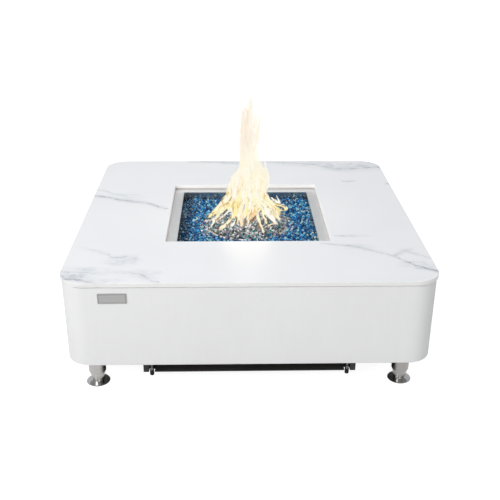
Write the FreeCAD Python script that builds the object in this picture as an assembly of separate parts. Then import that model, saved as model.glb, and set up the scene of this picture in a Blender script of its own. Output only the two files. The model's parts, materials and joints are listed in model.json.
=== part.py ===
import FreeCAD, Part
import math
import os
import random

from FreeCAD import Vector

# Square gas fire table. Millimetres, +Z up, X to the right and Y to the rear of the table.
# The origin is on the floor, under the middle of the tabletop.

# ---------------------------------------------------------------- whole table
TABLE_SIDE = 1067.0
TABLE_HEIGHT = 368.0
RUNNING_CLEARANCE = 0.05      # radial, a shaft, stem or screw in its bore
SEAT_CLEARANCE = 0.3          # beside a curved or loose neighbour
SCREW_CLEARANCE = 0.4         # radial, a screw in the hole of a plate
SHEET = 2.0                   # stainless sheet of the pan and the control box
CUT_MARGIN = 5.0              # how far a cutting tool runs past the face it opens
CUT_OVERLAP = 1.0             # the same where a neighbour is close behind
RUN_SHARE = 0.45              # most of a pipe's straight run that one bend may use
LEVEL_TOLERANCE = 1e-4        # when two heights count as the same

# ---------------------------------------------------------------- tabletop slab
SLAB_THICKNESS = 12.0
SLAB_CORNER_RADIUS = 75.0
SLAB_EDGE_CHAMFER = 1.0
OPENING_SIDE = 508.0
OPENING_CORNER_RADIUS = 3.0

SLAB_PAD_THICKNESS = 3.0
SLAB_PAD_RADIUS = 10.0
SLAB_PAD_SPACING = 330.0
BEAM_PAD_RADIUS = 12.0
BEAM_PAD_SETBACK = 18.0       # first pad beyond the pan's flange
BEAM_PAD_SPACING = 80.0
GASKET_WIDTH = 9.0
GASKET_SETBACK = 1.5         # from the edge of the tabletop opening

# ---------------------------------------------------------------- concrete shell
SLAB_OVERHANG = 4.0
SHELL_HEIGHT = 250.0
SHELL_WALL = 14.0
SHELL_CORNER_RADIUS = 71.0
SHELL_EDGE_FILLET = 2.0
SHELL_INNER_FILLET = 8.0
TOP_FLANGE_WIDTH = 40.0
TOP_FLANGE_THICKNESS = 14.0
BOTTOM_FLANGE_WIDTH = 130.0
BOTTOM_FLANGE_THICKNESS = 16.0
FLANGE_OPENING_RADIUS = 30.0

INSERT_RADIUS = 6.5
INSERT_LENGTH = 13.0

# ---------------------------------------------------------------- steel frames
ANGLE_WIDTH = 30.0
ANGLE_THICKNESS = 3.0
FRAME_TO_FLANGE_GAP = 12.0
FRAME_SCREW_SPACING = 340.0
PAN_RAIL_WIDTH = 50.0
PAN_RAIL_GAP = 1.8
M5_RADIUS = 2.5
M6_RADIUS = 3.0
M8_RADIUS = 4.0
SCREW_HEAD_RATIO = 1.75       # head radius to thread radius
SCREW_HEAD_HEIGHT = 0.95      # head height to thread radius
SCREW_HEAD_CHAMFER = 0.35     # chamfer of the head to thread radius
HEXAGON_SIDES = 6
NUT_FLATS_RATIO = 3.25        # across flats to thread radius
NUT_HEIGHT_RATIO = 1.6        # nut height to thread radius

# ---------------------------------------------------------------- legs and levelling feet
LEG_INSET = 80.0              # leg axis in from the tabletop's sides
LEG_RADIUS = 25.4
LEG_WALL = 2.0
LEG_PLATE_WIDTH = 90.0
LEG_PLATE_THICKNESS = 5.0
LEG_PLATE_CORNER = 8.0
LEG_SCREW_SPACING = 64.0
LEG_SCREW_LENGTH = 17.0
LEG_PLUG_LENGTH = 14.0
FOOT_PAD_THICKNESS = 1.5
FOOT_PAD_RADIUS = 31.0
FOOT_DISC_RADIUS = 35.0
FOOT_DISC_THICKNESS = 6.0
FOOT_DISC_FILLET = 2.0
FOOT_NECK_TOP_RADIUS = 24.6
FOOT_NECK_LOW_RADIUS = 16.0
FOOT_NECK_LENGTH = 32.5
FOOT_NECK_CHAMFER = 1.0
FOOT_STUD_RADIUS = 5.0
FOOT_STUD_LENGTH = 36.0

# ---------------------------------------------------------------- burner pan
PAN_FLANGE_SHOW = 32.3        # flange seen inside the tabletop opening
PAN_FLANGE_COVERED = 31.0     # flange hidden under the slab
PAN_FLANGE_DROP = 16.0        # flange face below the top of the slab
PAN_DEPTH = 80.0
PAN_CORNER_RADIUS = 6.0
PAN_BEND_RADIUS = 1.5
PAN_SCREW_SETBACK = 16.0
PAN_SCREW_SPACING = 300.0
PAN_SCREW_LENGTH = 10.0
PAN_DRAIN_RADIUS = 4.0
PAN_DRAIN_OFFSET = 170.0

# ---------------------------------------------------------------- ring burner and its feed
BURNER_TOP_DROP = 45.0        # top of the ring below the top of the slab
BURNER_RING_RADIUS = 140.0
BURNER_TUBE_RADIUS = 9.5
BURNER_BAR_RADIUS = 8.0
BURNER_WALL = 1.5
BURNER_HUB_RADIUS = 15.0
BURNER_HUB_DROP = 18.0
BURNER_SOCKET_DEPTH = 11.0
RING_PORTS = 36
BAR_PORTS = 4                 # on each side of the hub
PORT_RADIUS = 1.5
NIPPLE_RADIUS = 10.65
NIPPLE_BORE_RADIUS = 7.9
NIPPLE_BELOW_PAN = 36.0
LOCKNUT_FLATS = 32.0
LOCKNUT_HEIGHT = 7.0
MIXER_RADIUS = 15.0
MIXER_LENGTH = 62.0
MIXER_FLOOR = 6.0
MIXER_CHAMBER_RADIUS = 9.0
MIXER_SOCKET_DEPTH = 10.0
MIXER_WINDOW_WIDTH = 8.0
MIXER_WINDOW_HEIGHT = 20.0
MIXER_WINDOW_RISE = 10.0
ELBOW_SIDE = 22.0
ELBOW_FILLET = 2.8
ELBOW_SPIGOT_RADIUS = 6.5
ELBOW_BORE_RADIUS = 3.0
ELBOW_RISER_RADIUS = 2.2
ORIFICE_RADIUS = 0.8
ORIFICE_LENGTH = 2.0
ELBOW_SOCKET_DEPTH = 8.0
PIPE_RADIUS = 6.0
PIPE_WALL = 1.0
PIPE_BEND_RADIUS = 28.0
FEED_RISER_SETBACK = 84.0     # riser behind the valve's outlet
INLET_RISER_SETBACK = 42.0    # riser inside the edge of the shell's bottom flange
INLET_RUN_DROP = 45.0         # level run below the valve's inlet

# ---------------------------------------------------------------- ignition set in the pan
IGNITION_GAP = 14.0           # probe axes outside the ring tube
PROBE_SPACING = 18.0
BRACKET_WIDTH = 44.0
BRACKET_SHEET = 2.0
BRACKET_FOOT = 20.0
BRACKET_REACH = 26.0
BRACKET_GAP = 0.5             # between the grommet and the upright leg
BRACKET_SHELF_DROP = 24.0     # shelf below the top of the ring
ELECTRODE_RADIUS = 4.0
ELECTRODE_COLLAR_RADIUS = 6.0
ELECTRODE_COLLAR_HEIGHT = 4.0
ELECTRODE_LENGTH = 36.0
ELECTRODE_TOP_DROP = 6.0      # ceramic below the top of the ring
ELECTRODE_TIP_RADIUS = 1.2
ELECTRODE_TIP_RISE = 12.0
ELECTRODE_TIP_BEND = 3.6
THERMOCOUPLE_RADIUS = 3.0
THERMOCOUPLE_LENGTH = 44.0
THERMOCOUPLE_RISE = 2.0       # tip above the top of the ring
THERMOCOUPLE_TIP_FILLET = 2.4
THERMOCOUPLE_COLLAR_RADIUS = 5.0
LEAD_RADIUS = 1.8
LEAD_BEND_RADIUS = 14.0
LEAD_STRAIGHT = 84.0          # ignition lead straight behind the igniter
LEAD_SIDE_SETBACK = 56.0      # leads beside the grommet before they turn up
LEAD_PAN_CLEARANCE = 84.0     # ignition lead outside the pan where it drops
PROBE_LEAD_STRAIGHT = 56.0    # thermocouple lead straight behind the valve
PROBE_LEAD_REAR = 28.0        # thermocouple lead behind the probe before it turns in
GROMMET_RADIUS = 15.0
GROMMET_LIP = 2.0

# ---------------------------------------------------------------- glass bed
GLASS_COVER = 1.0             # least glass over the burner
GLASS_RELIEF = 6.0            # from the lowest to the highest chip of the rough top
GLASS_CHIP_PITCH = 14.0
GLASS_CHIP_SHIFT = 3.5        # sideways, from an even grid
GLASS_SEED = 5
BARE_ARCS = ((205.0, 35.0), (318.0, 27.0))    # start and sweep, degrees: the ring shows there
GLASS_POCKET_MARGIN = 3.0

# ---------------------------------------------------------------- control box in the rear wall
CONTROL_X = 250.0
CONTROL_CUT_WIDTH = 206.0
CONTROL_CUT_HEIGHT = 84.0
CONTROL_CORNER_RADIUS = 8.0
CONTROL_RIM = 12.0
CONTROL_DEPTH = 42.0
CONTROL_GAP = 1.5
CONTROL_SCREW_RADIUS = 2.0
CONTROL_SCREW_LENGTH = 12.0
CONTROL_SCREW_INSET = 8.0     # in from the top and bottom of the cut-out
VALVE_OFFSET = -48.0
VALVE_SIDE = 44.0
VALVE_LENGTH = 46.0
VALVE_FILLET = 4.0
VALVE_NECK_RADIUS = 9.0
VALVE_NECK_LENGTH = 8.0
VALVE_PORT_RADIUS = 9.0
VALVE_PORT_LENGTH = 10.0
VALVE_OUTLET_RISE = 4.5       # outlet above the stem's axis
PROBE_PORT_OFFSET = 14.7      # thermocouple port beside and above the stem's axis
PANEL_NUT_HEIGHT = 4.0
PANEL_NUT_RIM = 4.0           # flats outside the thread
STEM_RADIUS = 4.0
STEM_IN_VALVE = 34.0
STEM_BORE_SPARE = 8.0
STEM_IN_KNOB = 14.0
KNOB_TRAVEL = 4.0
KNOB_PUSH_MARGIN = 1.0
KNOB_RADIUS = 20.0
KNOB_SKIRT = 7.0
KNOB_GRIP_HEIGHT = 13.0
KNOB_GRIP_WIDTH = 12.0
KNOB_FILLET = 1.5
KNOB_MARK_WIDTH = 1.6
KNOB_MARK_DEPTH = 0.8
KNOB_MARK_START = 5.0         # inner end of the mark from the axis
IGNITER_OFFSET = 52.0
IGNITER_RADIUS = 11.0
IGNITER_LENGTH = 48.0
IGNITER_FLANGE_RADIUS = 15.0
IGNITER_FLANGE_THICKNESS = 4.0
BUTTON_RADIUS = 8.0
BUTTON_STAND = 6.5
BUTTON_TRAVEL = 5.0
BUTTON_LENGTH = 26.0
BUTTON_FILLET = 1.2
BUTTON_BORE_SPARE = 2.0

# ---------------------------------------------------------------- gas inlet under the rear edge
INLET_BRACKET_WIDTH = 34.0
INLET_BRACKET_DEPTH = 36.0
INLET_BRACKET_DROP = 42.0
INLET_DROP = 24.0             # inlet axis below the shell
INLET_SETBACK = 104.0         # bracket in from the tabletop's rear edge
INLET_THREAD_RADIUS = 7.94
INLET_THREAD_LENGTH = 14.0
INLET_HEX_FLATS = 22.0
INLET_HEX_LENGTH = 8.0
INLET_BARREL_RADIUS = 8.0
INLET_BARREL_LENGTH = 16.0
INLET_BORE_RADIUS = 4.0

# ---------------------------------------------------------------- black underframe
UNDERFRAME_WIDTH = 626.0
UNDERFRAME_INSET = 48.5       # rail faces in from the tabletop's edges
UNDERFRAME_DROP = 53.0
BASE_PLATE_THICKNESS = 2.0
SIDE_RAIL_WIDTH = 16.0
SIDE_RAIL_WALL = 2.0
RAIL_END_GAP = 3.0
RAIL_DEPTH = 40.0
RAIL_WALL = 3.0
RAIL_NOTCH_WIDTH = 17.0
RAIL_NOTCH_DEPTH = 16.0
STUD_EDGE = 5.0               # stud axis in from the end of a rail
STUD_SETBACK = 7.5            # stud axis behind the open face of a rail
CAP_RADIUS = 6.2
CAP_BELOW_RAIL = 14.0
CAP_ABOVE_RAIL = 3.0
CAP_FLOOR = 2.5
CAP_CHAMFER = 1.5
STUD_NUT_RISE = 5.0
VENT_LENGTH = 90.0
VENT_WIDTH = 10.0
VENT_ROWS = 4
VENT_COLUMNS = 4
VENT_ROW_SPACING = 150.0
VENT_COLUMN_SPACING = 130.0

# ---------------------------------------------------------------- bare nameplate
NAMEPLATE_WIDTH = 81.0
NAMEPLATE_HEIGHT = 31.0
NAMEPLATE_THICKNESS = 1.5
NAMEPLATE_CORNER_RADIUS = 2.0
NAMEPLATE_EDGE = 111.5        # from the tabletop's left edge
NAMEPLATE_DROP = 33.0         # top of the plate below the top of the slab

# ---------------------------------------------------------------- levels and half sizes
TABLE_HALF = TABLE_SIDE / 2
SLAB_BOTTOM = TABLE_HEIGHT - SLAB_THICKNESS
OPENING_HALF = OPENING_SIDE / 2

SHELL_TOP = SLAB_BOTTOM - SLAB_PAD_THICKNESS
SHELL_BOTTOM = SHELL_TOP - SHELL_HEIGHT
SHELL_HALF = TABLE_HALF - SLAB_OVERHANG
SHELL_INNER_HALF = SHELL_HALF - SHELL_WALL
TOP_FLANGE_HALF = SHELL_HALF - TOP_FLANGE_WIDTH
BOTTOM_FLANGE_HALF = SHELL_HALF - BOTTOM_FLANGE_WIDTH
FLANGE_FACE = SHELL_BOTTOM + BOTTOM_FLANGE_THICKNESS

FRAME_HALF = TOP_FLANGE_HALF - FRAME_TO_FLANGE_GAP
PAN_HALF = OPENING_HALF - PAN_FLANGE_SHOW
PAN_FLANGE_HALF = OPENING_HALF + PAN_FLANGE_COVERED
PAN_FLANGE_TOP = TABLE_HEIGHT - PAN_FLANGE_DROP
PAN_FLANGE_BOTTOM = PAN_FLANGE_TOP - SHEET
PAN_FLOOR = PAN_FLANGE_TOP - PAN_DEPTH
PAN_BOTTOM = PAN_FLOOR - SHEET
PAN_RAIL_INNER = PAN_HALF + SHEET + PAN_RAIL_GAP
PAN_RAIL_OUTER = PAN_RAIL_INNER + PAN_RAIL_WIDTH
PAN_SCREW_LINE = OPENING_HALF + PAN_SCREW_SETBACK
POST_INNER = PAN_RAIL_OUTER - ANGLE_WIDTH
POST_MIDDLE_Y = PAN_RAIL_OUTER - ANGLE_WIDTH / 2
POST_MIDDLE_X = FRAME_HALF - ANGLE_WIDTH / 2
POST_TOP = PAN_FLANGE_BOTTOM - ANGLE_THICKNESS

LEG_CENTRE = TABLE_HALF - LEG_INSET
LEG_PLATE_BOTTOM = SHELL_BOTTOM - LEG_PLATE_THICKNESS
FOOT_DISC_TOP = FOOT_PAD_THICKNESS + FOOT_DISC_THICKNESS
FOOT_SHOULDER = FOOT_DISC_TOP + FOOT_NECK_LENGTH

BURNER_AXIS_Z = TABLE_HEIGHT - BURNER_TOP_DROP - BURNER_TUBE_RADIUS
BURNER_TOP = BURNER_AXIS_Z + BURNER_TUBE_RADIUS
HUB_BOTTOM = BURNER_AXIS_Z - BURNER_HUB_DROP
NIPPLE_TOP = HUB_BOTTOM + BURNER_SOCKET_DEPTH
NIPPLE_BOTTOM = PAN_BOTTOM - NIPPLE_BELOW_PAN
MIXER_TOP = NIPPLE_BOTTOM + MIXER_SOCKET_DEPTH
MIXER_BOTTOM = MIXER_TOP - MIXER_LENGTH
ELBOW_AXIS_Z = MIXER_BOTTOM - ELBOW_SIDE / 2

PROBE_Y = BURNER_RING_RADIUS + BURNER_TUBE_RADIUS + IGNITION_GAP
SHELF_Z = BURNER_TOP - BRACKET_SHELF_DROP
BRACKET_BACK = PROBE_Y + GROMMET_RADIUS + BRACKET_GAP + BRACKET_SHEET
ELECTRODE_TOP = BURNER_TOP - ELECTRODE_TOP_DROP
THERMOCOUPLE_TOP = BURNER_TOP + THERMOCOUPLE_RISE
GLASS_LOW = BURNER_TOP + GLASS_COVER
GLASS_HIGH = GLASS_LOW + GLASS_RELIEF

CONTROL_Z = SHELL_BOTTOM + SHELL_HEIGHT / 2
CONTROL_FACE = SHELL_HALF - CONTROL_DEPTH + SHEET
CONTROL_BACK = CONTROL_FACE - SHEET
VALVE_X = CONTROL_X + VALVE_OFFSET
VALVE_BACK = CONTROL_BACK - VALVE_LENGTH
VALVE_NECK_END = CONTROL_BACK + VALVE_NECK_LENGTH
KNOB_BACK = VALVE_NECK_END + KNOB_TRAVEL + KNOB_PUSH_MARGIN
IGNITER_X = CONTROL_X + IGNITER_OFFSET
IGNITER_FRONT = CONTROL_FACE + IGNITER_FLANGE_THICKNESS
IGNITER_BACK = IGNITER_FRONT - IGNITER_LENGTH
BUTTON_FRONT = IGNITER_FRONT + BUTTON_STAND
VALVE_OUTLET_Z = CONTROL_Z + VALVE_OUTLET_RISE
VALVE_OUTLET_END = VALVE_BACK - VALVE_PORT_LENGTH
VALVE_INLET_Y = (VALVE_BACK + CONTROL_BACK) / 2
VALVE_INLET_END = CONTROL_Z - VALVE_SIDE / 2 - VALVE_PORT_LENGTH

UNDERFRAME_HALF_X = UNDERFRAME_WIDTH / 2
UNDERFRAME_HALF_Y = TABLE_HALF - UNDERFRAME_INSET
UNDERFRAME_BOTTOM = SHELL_BOTTOM - UNDERFRAME_DROP
BASE_PLATE_BOTTOM = SHELL_BOTTOM - BASE_PLATE_THICKNESS
RAIL_HALF_LENGTH = UNDERFRAME_HALF_X - SIDE_RAIL_WIDTH - RAIL_END_GAP
STUD_X = RAIL_HALF_LENGTH - STUD_EDGE
STUD_Y = UNDERFRAME_HALF_Y - STUD_SETBACK
CAP_BOTTOM = UNDERFRAME_BOTTOM - CAP_BELOW_RAIL
CAP_TOP = UNDERFRAME_BOTTOM + CAP_ABOVE_RAIL

INLET_X = (UNDERFRAME_HALF_X + LEG_CENTRE - LEG_PLATE_WIDTH / 2) / 2
INLET_Y = TABLE_HALF - INLET_SETBACK
INLET_Z = SHELL_BOTTOM - INLET_DROP

X_AXIS = Vector(1, 0, 0)
Y_AXIS = Vector(0, 1, 0)
Z_AXIS = Vector(0, 0, 1)
CORNERS = {
    "front_left": (-1, -1),
    "front_right": (1, -1),
    "rear_left": (-1, 1),
    "rear_right": (1, 1),
}


# ---------------------------------------------------------------- basic solids
def block(low_x, high_x, low_y, high_y, low_z, high_z):
    corner = Vector(min(low_x, high_x), min(low_y, high_y), min(low_z, high_z))
    return Part.makeBox(abs(high_x - low_x), abs(high_y - low_y), abs(high_z - low_z), corner)


def rod(radius, start, end):
    direction = end - start
    return Part.makeCylinder(radius, direction.Length, start, direction)


def upright_rod(radius, x, y, low_z, high_z):
    return rod(radius, Vector(x, y, low_z), Vector(x, y, high_z))


def hexagon(across_flats, start, end):
    """Hexagonal prism along Y or Z, with two corners in line with X."""
    corner_radius = across_flats / math.sqrt(3)
    across = (end - start).cross(X_AXIS).normalize()
    points = []
    for index in range(HEXAGON_SIDES + 1):
        angle = 2 * math.pi * index / HEXAGON_SIDES
        along_x = X_AXIS * (corner_radius * math.cos(angle))
        points.append(start + along_x + across * (corner_radius * math.sin(angle)))
    return Part.Face(Part.makePolygon(points)).extrude(end - start)


def rounded_outline(half_x, half_y, radius):
    """Closed wire of a rectangle with rounded corners, about the origin in the XY plane."""
    diagonal = radius * (1 - math.sqrt(0.5))
    edges = []
    corners = [(1, 1), (-1, 1), (-1, -1), (1, -1)]
    ends = []
    for sign_x, sign_y in corners:
        along_y = Vector(sign_x * half_x, sign_y * (half_y - radius), 0)
        along_x = Vector(sign_x * (half_x - radius), sign_y * half_y, 0)
        middle = Vector(sign_x * (half_x - diagonal), sign_y * (half_y - diagonal), 0)
        first, last = (along_y, along_x) if sign_x * sign_y > 0 else (along_x, along_y)
        ends.append((first, last))
        edges.append(Part.Arc(first, middle, last).toShape())
    for index in range(4):
        edges.append(Part.LineSegment(ends[index][1], ends[(index + 1) % 4][0]).toShape())
    return Part.Wire(Part.__sortEdges__(edges))


def rounded_block(half_x, half_y, radius, low_z, high_z):
    face = Part.Face(rounded_outline(half_x, half_y, radius))
    face.translate(Vector(0, 0, low_z))
    return face.extrude(Vector(0, 0, high_z - low_z))


def joined(shapes):
    """One solid from overlapping or touching solids."""
    first, rest = shapes[0], shapes[1:]
    return first.fuse(rest).removeSplitter() if rest else first


def without(shape, tools):
    return shape.cut(tools)


def level_edges(shape, level):
    """Edges that lie in the horizontal plane at this level."""
    found = []
    for edge in shape.Edges:
        box = edge.BoundBox
        if abs(box.ZMin - level) < LEVEL_TOLERANCE and abs(box.ZMax - level) < LEVEL_TOLERANCE:
            found.append(edge)
    return found


def upright_edges(shape):
    found = []
    for edge in shape.Edges:
        box = edge.BoundBox
        if box.XLength < LEVEL_TOLERANCE and box.YLength < LEVEL_TOLERANCE:
            found.append(edge)
    return found


def rim_edges(shape, centre):
    """Circular edges about this point."""
    closed = [edge for edge in shape.Edges if edge.isClosed()]
    return [edge for edge in closed if edge.CenterOfMass.isEqual(centre, LEVEL_TOLERANCE)]


def bent_path(points, bend_radius):
    """Wire of straight runs joined by tangent arcs, each no larger than its two runs allow."""
    edges = []
    start = points[0]
    for index in range(1, len(points) - 1):
        corner = points[index]
        arriving = (corner - points[index - 1]).normalize()
        leaving = (points[index + 1] - corner).normalize()
        half_turn = arriving.getAngle(leaving) / 2
        shorter_run = min((corner - points[index - 1]).Length, (points[index + 1] - corner).Length)
        radius = min(bend_radius, RUN_SHARE * shorter_run / math.tan(half_turn))
        setback = radius * math.tan(half_turn)
        arc_start = corner - arriving * setback
        arc_end = corner + leaving * setback
        inward = (leaving - arriving).normalize()
        middle = corner + inward * (radius / math.cos(half_turn) - radius)
        edges.append(Part.LineSegment(start, arc_start).toShape())
        edges.append(Part.Arc(arc_start, middle, arc_end).toShape())
        start = arc_end
    edges.append(Part.LineSegment(start, points[-1]).toShape())
    return Part.Wire(edges)


def bent_rod(points, bend_radius, radius):
    path = bent_path(points, bend_radius)
    profile = Part.Wire(Part.makeCircle(radius, points[0], points[1] - points[0]))
    return path.makePipeShell([profile], True, False)


def bent_tube(points, bend_radius, radius, wall):
    return bent_rod(points, bend_radius, radius).cut(bent_rod(points, bend_radius, radius - wall))


def screw(thread_radius, seat, direction, length):
    """Pan-head screw: its head stands on the seat and its shank runs along the direction."""
    top = seat - direction * (thread_radius * SCREW_HEAD_HEIGHT)
    head = rod(thread_radius * SCREW_HEAD_RATIO, top, seat)
    head = head.makeChamfer(thread_radius * SCREW_HEAD_CHAMFER, rim_edges(head, top))
    return joined([head, rod(thread_radius, seat, seat + direction * length)])


def nut(thread_radius, start, direction):
    height = thread_radius * NUT_HEIGHT_RATIO
    body = hexagon(thread_radius * NUT_FLATS_RATIO, start, start + direction * height)
    hole = rod(thread_radius + RUNNING_CLEARANCE, start - direction, start + direction * (height + CUT_OVERLAP))
    return body.cut(hole)


def corner_points(x, y):
    return [Vector(sign_x * x, sign_y * y, 0) for sign_x, sign_y in CORNERS.values()]


def spread(count, spacing):
    """Positions of a row of copies, centred on zero."""
    return [spacing * (index - (count - 1) / 2) for index in range(count)]


# ---------------------------------------------------------------- tabletop
def tabletop_slab():
    slab = rounded_block(TABLE_HALF, TABLE_HALF, SLAB_CORNER_RADIUS, SLAB_BOTTOM, TABLE_HEIGHT)
    opening = rounded_block(
        OPENING_HALF, OPENING_HALF, OPENING_CORNER_RADIUS, SLAB_BOTTOM - CUT_MARGIN, TABLE_HEIGHT + CUT_MARGIN
    )
    slab = slab.cut(opening)
    return slab.makeChamfer(SLAB_EDGE_CHAMFER, level_edges(slab, TABLE_HEIGHT))


def slab_pad_points():
    line = SHELL_HALF - TOP_FLANGE_WIDTH / 2
    points = []
    for along in spread(3, SLAB_PAD_SPACING):
        for side in (-line, line):
            points.append((along, side))
            points.append((side, along))
    return points


def slab_pads():
    return [upright_rod(SLAB_PAD_RADIUS, x, y, SHELL_TOP, SLAB_BOTTOM) for x, y in slab_pad_points()]


def beam_pads():
    beam_y = (PAN_RAIL_INNER + PAN_RAIL_OUTER) / 2
    inner_x = PAN_FLANGE_HALF + BEAM_PAD_SETBACK
    pads = []
    for x in (inner_x, inner_x + BEAM_PAD_SPACING):
        for point in corner_points(x, beam_y):
            pads.append(upright_rod(BEAM_PAD_RADIUS, point.x, point.y, PAN_FLANGE_BOTTOM, SLAB_BOTTOM))
    return pads


def opening_gasket():
    inner = OPENING_HALF + GASKET_SETBACK
    outer = inner + GASKET_WIDTH
    ring = rounded_block(outer, outer, OPENING_CORNER_RADIUS, PAN_FLANGE_TOP, SLAB_BOTTOM)
    hole = rounded_block(
        inner, inner, OPENING_CORNER_RADIUS, PAN_FLANGE_TOP - CUT_MARGIN, SLAB_BOTTOM + CUT_MARGIN
    )
    return ring.cut(hole)


# ---------------------------------------------------------------- concrete shell
def leg_screw_points():
    points = []
    for centre in corner_points(LEG_CENTRE, LEG_CENTRE):
        for offset in corner_points(LEG_SCREW_SPACING / 2, LEG_SCREW_SPACING / 2):
            points.append(centre + offset)
    return points


def frame_screw_points():
    line = FRAME_HALF - ANGLE_WIDTH / 2
    points = []
    for along in spread(2, FRAME_SCREW_SPACING):
        for side in (-line, line):
            points.append(Vector(along, side, 0))
            points.append(Vector(side, along, 0))
    return points


def control_opening(half_gap, low_y, high_y):
    """Rounded hole through the rear wall, larger than the control box by the gap."""
    cut = rounded_block(
        CONTROL_CUT_WIDTH / 2 + half_gap, CONTROL_CUT_HEIGHT / 2 + half_gap,
        CONTROL_CORNER_RADIUS + half_gap, 0, high_y - low_y
    )
    cut.rotate(Vector(0, 0, 0), X_AXIS, -90)
    cut.translate(Vector(CONTROL_X, low_y, CONTROL_Z))
    return cut


def control_screw_points():
    half_x = CONTROL_CUT_WIDTH / 2 + CONTROL_GAP + CONTROL_RIM / 2
    half_z = CONTROL_CUT_HEIGHT / 2 - CONTROL_SCREW_INSET
    points = []
    for sign_x in (-1, 1):
        for sign_z in (-1, 1):
            points.append((CONTROL_X + sign_x * half_x, CONTROL_Z + sign_z * half_z))
    return points


def body_shell():
    outside = rounded_block(SHELL_HALF, SHELL_HALF, SHELL_CORNER_RADIUS, SHELL_BOTTOM, SHELL_TOP)
    rims = level_edges(outside, SHELL_BOTTOM) + level_edges(outside, SHELL_TOP)
    outside = outside.makeFillet(SHELL_EDGE_FILLET, rims)
    ceiling = SHELL_TOP - TOP_FLANGE_THICKNESS
    cavity = rounded_block(
        SHELL_INNER_HALF, SHELL_INNER_HALF, SHELL_CORNER_RADIUS - SHELL_WALL, FLANGE_FACE, ceiling
    )
    cavity_rims = level_edges(cavity, FLANGE_FACE) + level_edges(cavity, ceiling)
    cavity = cavity.makeFillet(SHELL_INNER_FILLET, cavity_rims)
    top_opening = rounded_block(
        TOP_FLANGE_HALF, TOP_FLANGE_HALF, FLANGE_OPENING_RADIUS, ceiling - CUT_MARGIN, SHELL_TOP + CUT_MARGIN
    )
    bottom_opening = rounded_block(
        BOTTOM_FLANGE_HALF, BOTTOM_FLANGE_HALF, FLANGE_OPENING_RADIUS,
        SHELL_BOTTOM - CUT_MARGIN, FLANGE_FACE + CUT_MARGIN
    )
    tools = [cavity, top_opening, bottom_opening]
    tools.append(control_opening(CONTROL_GAP, SHELL_INNER_HALF - CUT_MARGIN, SHELL_HALF + CUT_MARGIN))
    for point in leg_screw_points() + corner_points(STUD_X, STUD_Y):
        tools.append(upright_rod(INSERT_RADIUS, point.x, point.y,
                                 SHELL_BOTTOM - CUT_MARGIN, SHELL_BOTTOM + INSERT_LENGTH))
    for point in frame_screw_points():
        tools.append(upright_rod(INSERT_RADIUS, point.x, point.y,
                                 FLANGE_FACE - INSERT_LENGTH, FLANGE_FACE + CUT_MARGIN))
    for x, z in control_screw_points():
        tools.append(rod(CONTROL_SCREW_RADIUS + RUNNING_CLEARANCE,
                         Vector(x, SHELL_HALF - CONTROL_SCREW_LENGTH, z), Vector(x, SHELL_HALF + CUT_MARGIN, z)))
    return without(outside, tools)


def insert(x, y, low_z, high_z, bore_radius):
    body = upright_rod(INSERT_RADIUS - RUNNING_CLEARANCE, x, y, low_z, high_z)
    return body.cut(upright_rod(bore_radius, x, y, low_z - CUT_MARGIN, high_z + CUT_MARGIN))


def shell_inserts():
    inserts = []
    m8_bore = M8_RADIUS + RUNNING_CLEARANCE
    m6_bore = M6_RADIUS + RUNNING_CLEARANCE
    for point in leg_screw_points() + corner_points(STUD_X, STUD_Y):
        inserts.append(insert(point.x, point.y, SHELL_BOTTOM, SHELL_BOTTOM + INSERT_LENGTH, m8_bore))
    for point in frame_screw_points():
        inserts.append(insert(point.x, point.y, FLANGE_FACE - INSERT_LENGTH, FLANGE_FACE, m6_bore))
    return inserts


# ---------------------------------------------------------------- steel frames
def square_ring(outer_half, inner_half, low_z, high_z):
    outer = block(-outer_half, outer_half, -outer_half, outer_half, low_z, high_z)
    inner = block(-inner_half, inner_half, -inner_half, inner_half, low_z - CUT_MARGIN, high_z + CUT_MARGIN)
    return outer.cut(inner)


def support_frame():
    """Angle-iron ring on the shell's bottom flange, with four welded posts under the top frame."""
    pieces = [
        square_ring(FRAME_HALF, FRAME_HALF - ANGLE_WIDTH, FLANGE_FACE, FLANGE_FACE + ANGLE_THICKNESS),
        square_ring(FRAME_HALF, FRAME_HALF - ANGLE_THICKNESS, FLANGE_FACE, FLANGE_FACE + ANGLE_WIDTH),
    ]
    for sign_x, sign_y in CORNERS.values():
        outer_x = sign_x * FRAME_HALF
        inner_x = sign_x * (FRAME_HALF - ANGLE_WIDTH)
        near_y = sign_y * POST_INNER
        far_y = sign_y * PAN_RAIL_OUTER
        pieces.append(block(outer_x, sign_x * (FRAME_HALF - ANGLE_THICKNESS), near_y, far_y, FLANGE_FACE, POST_TOP))
        pieces.append(block(outer_x, inner_x, far_y, far_y - sign_y * ANGLE_THICKNESS, FLANGE_FACE, POST_TOP))
        pieces.append(block(outer_x, inner_x, near_y, far_y, POST_TOP - ANGLE_THICKNESS, POST_TOP))
    holes = []
    for point in frame_screw_points():
        holes.append(upright_rod(M6_RADIUS + SCREW_CLEARANCE, point.x, point.y,
                                 FLANGE_FACE - CUT_MARGIN, FLANGE_FACE + ANGLE_WIDTH / 2))
    for point in corner_points(POST_MIDDLE_X, POST_MIDDLE_Y):
        holes.append(upright_rod(M6_RADIUS + SCREW_CLEARANCE, point.x, point.y,
                                 POST_TOP - ANGLE_WIDTH / 2, POST_TOP + CUT_MARGIN))
    return without(joined(pieces), holes)


def support_frame_screws():
    seat = FLANGE_FACE + ANGLE_THICKNESS
    length = ANGLE_THICKNESS + INSERT_LENGTH - CUT_OVERLAP
    return [screw(M6_RADIUS, Vector(point.x, point.y, seat), -Z_AXIS, length) for point in frame_screw_points()]


def pan_screw_points():
    points = []
    for along in spread(2, PAN_SCREW_SPACING):
        for side in (-PAN_SCREW_LINE, PAN_SCREW_LINE):
            points.append(Vector(along, side, 0))
            points.append(Vector(side, along, 0))
    return points


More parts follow.
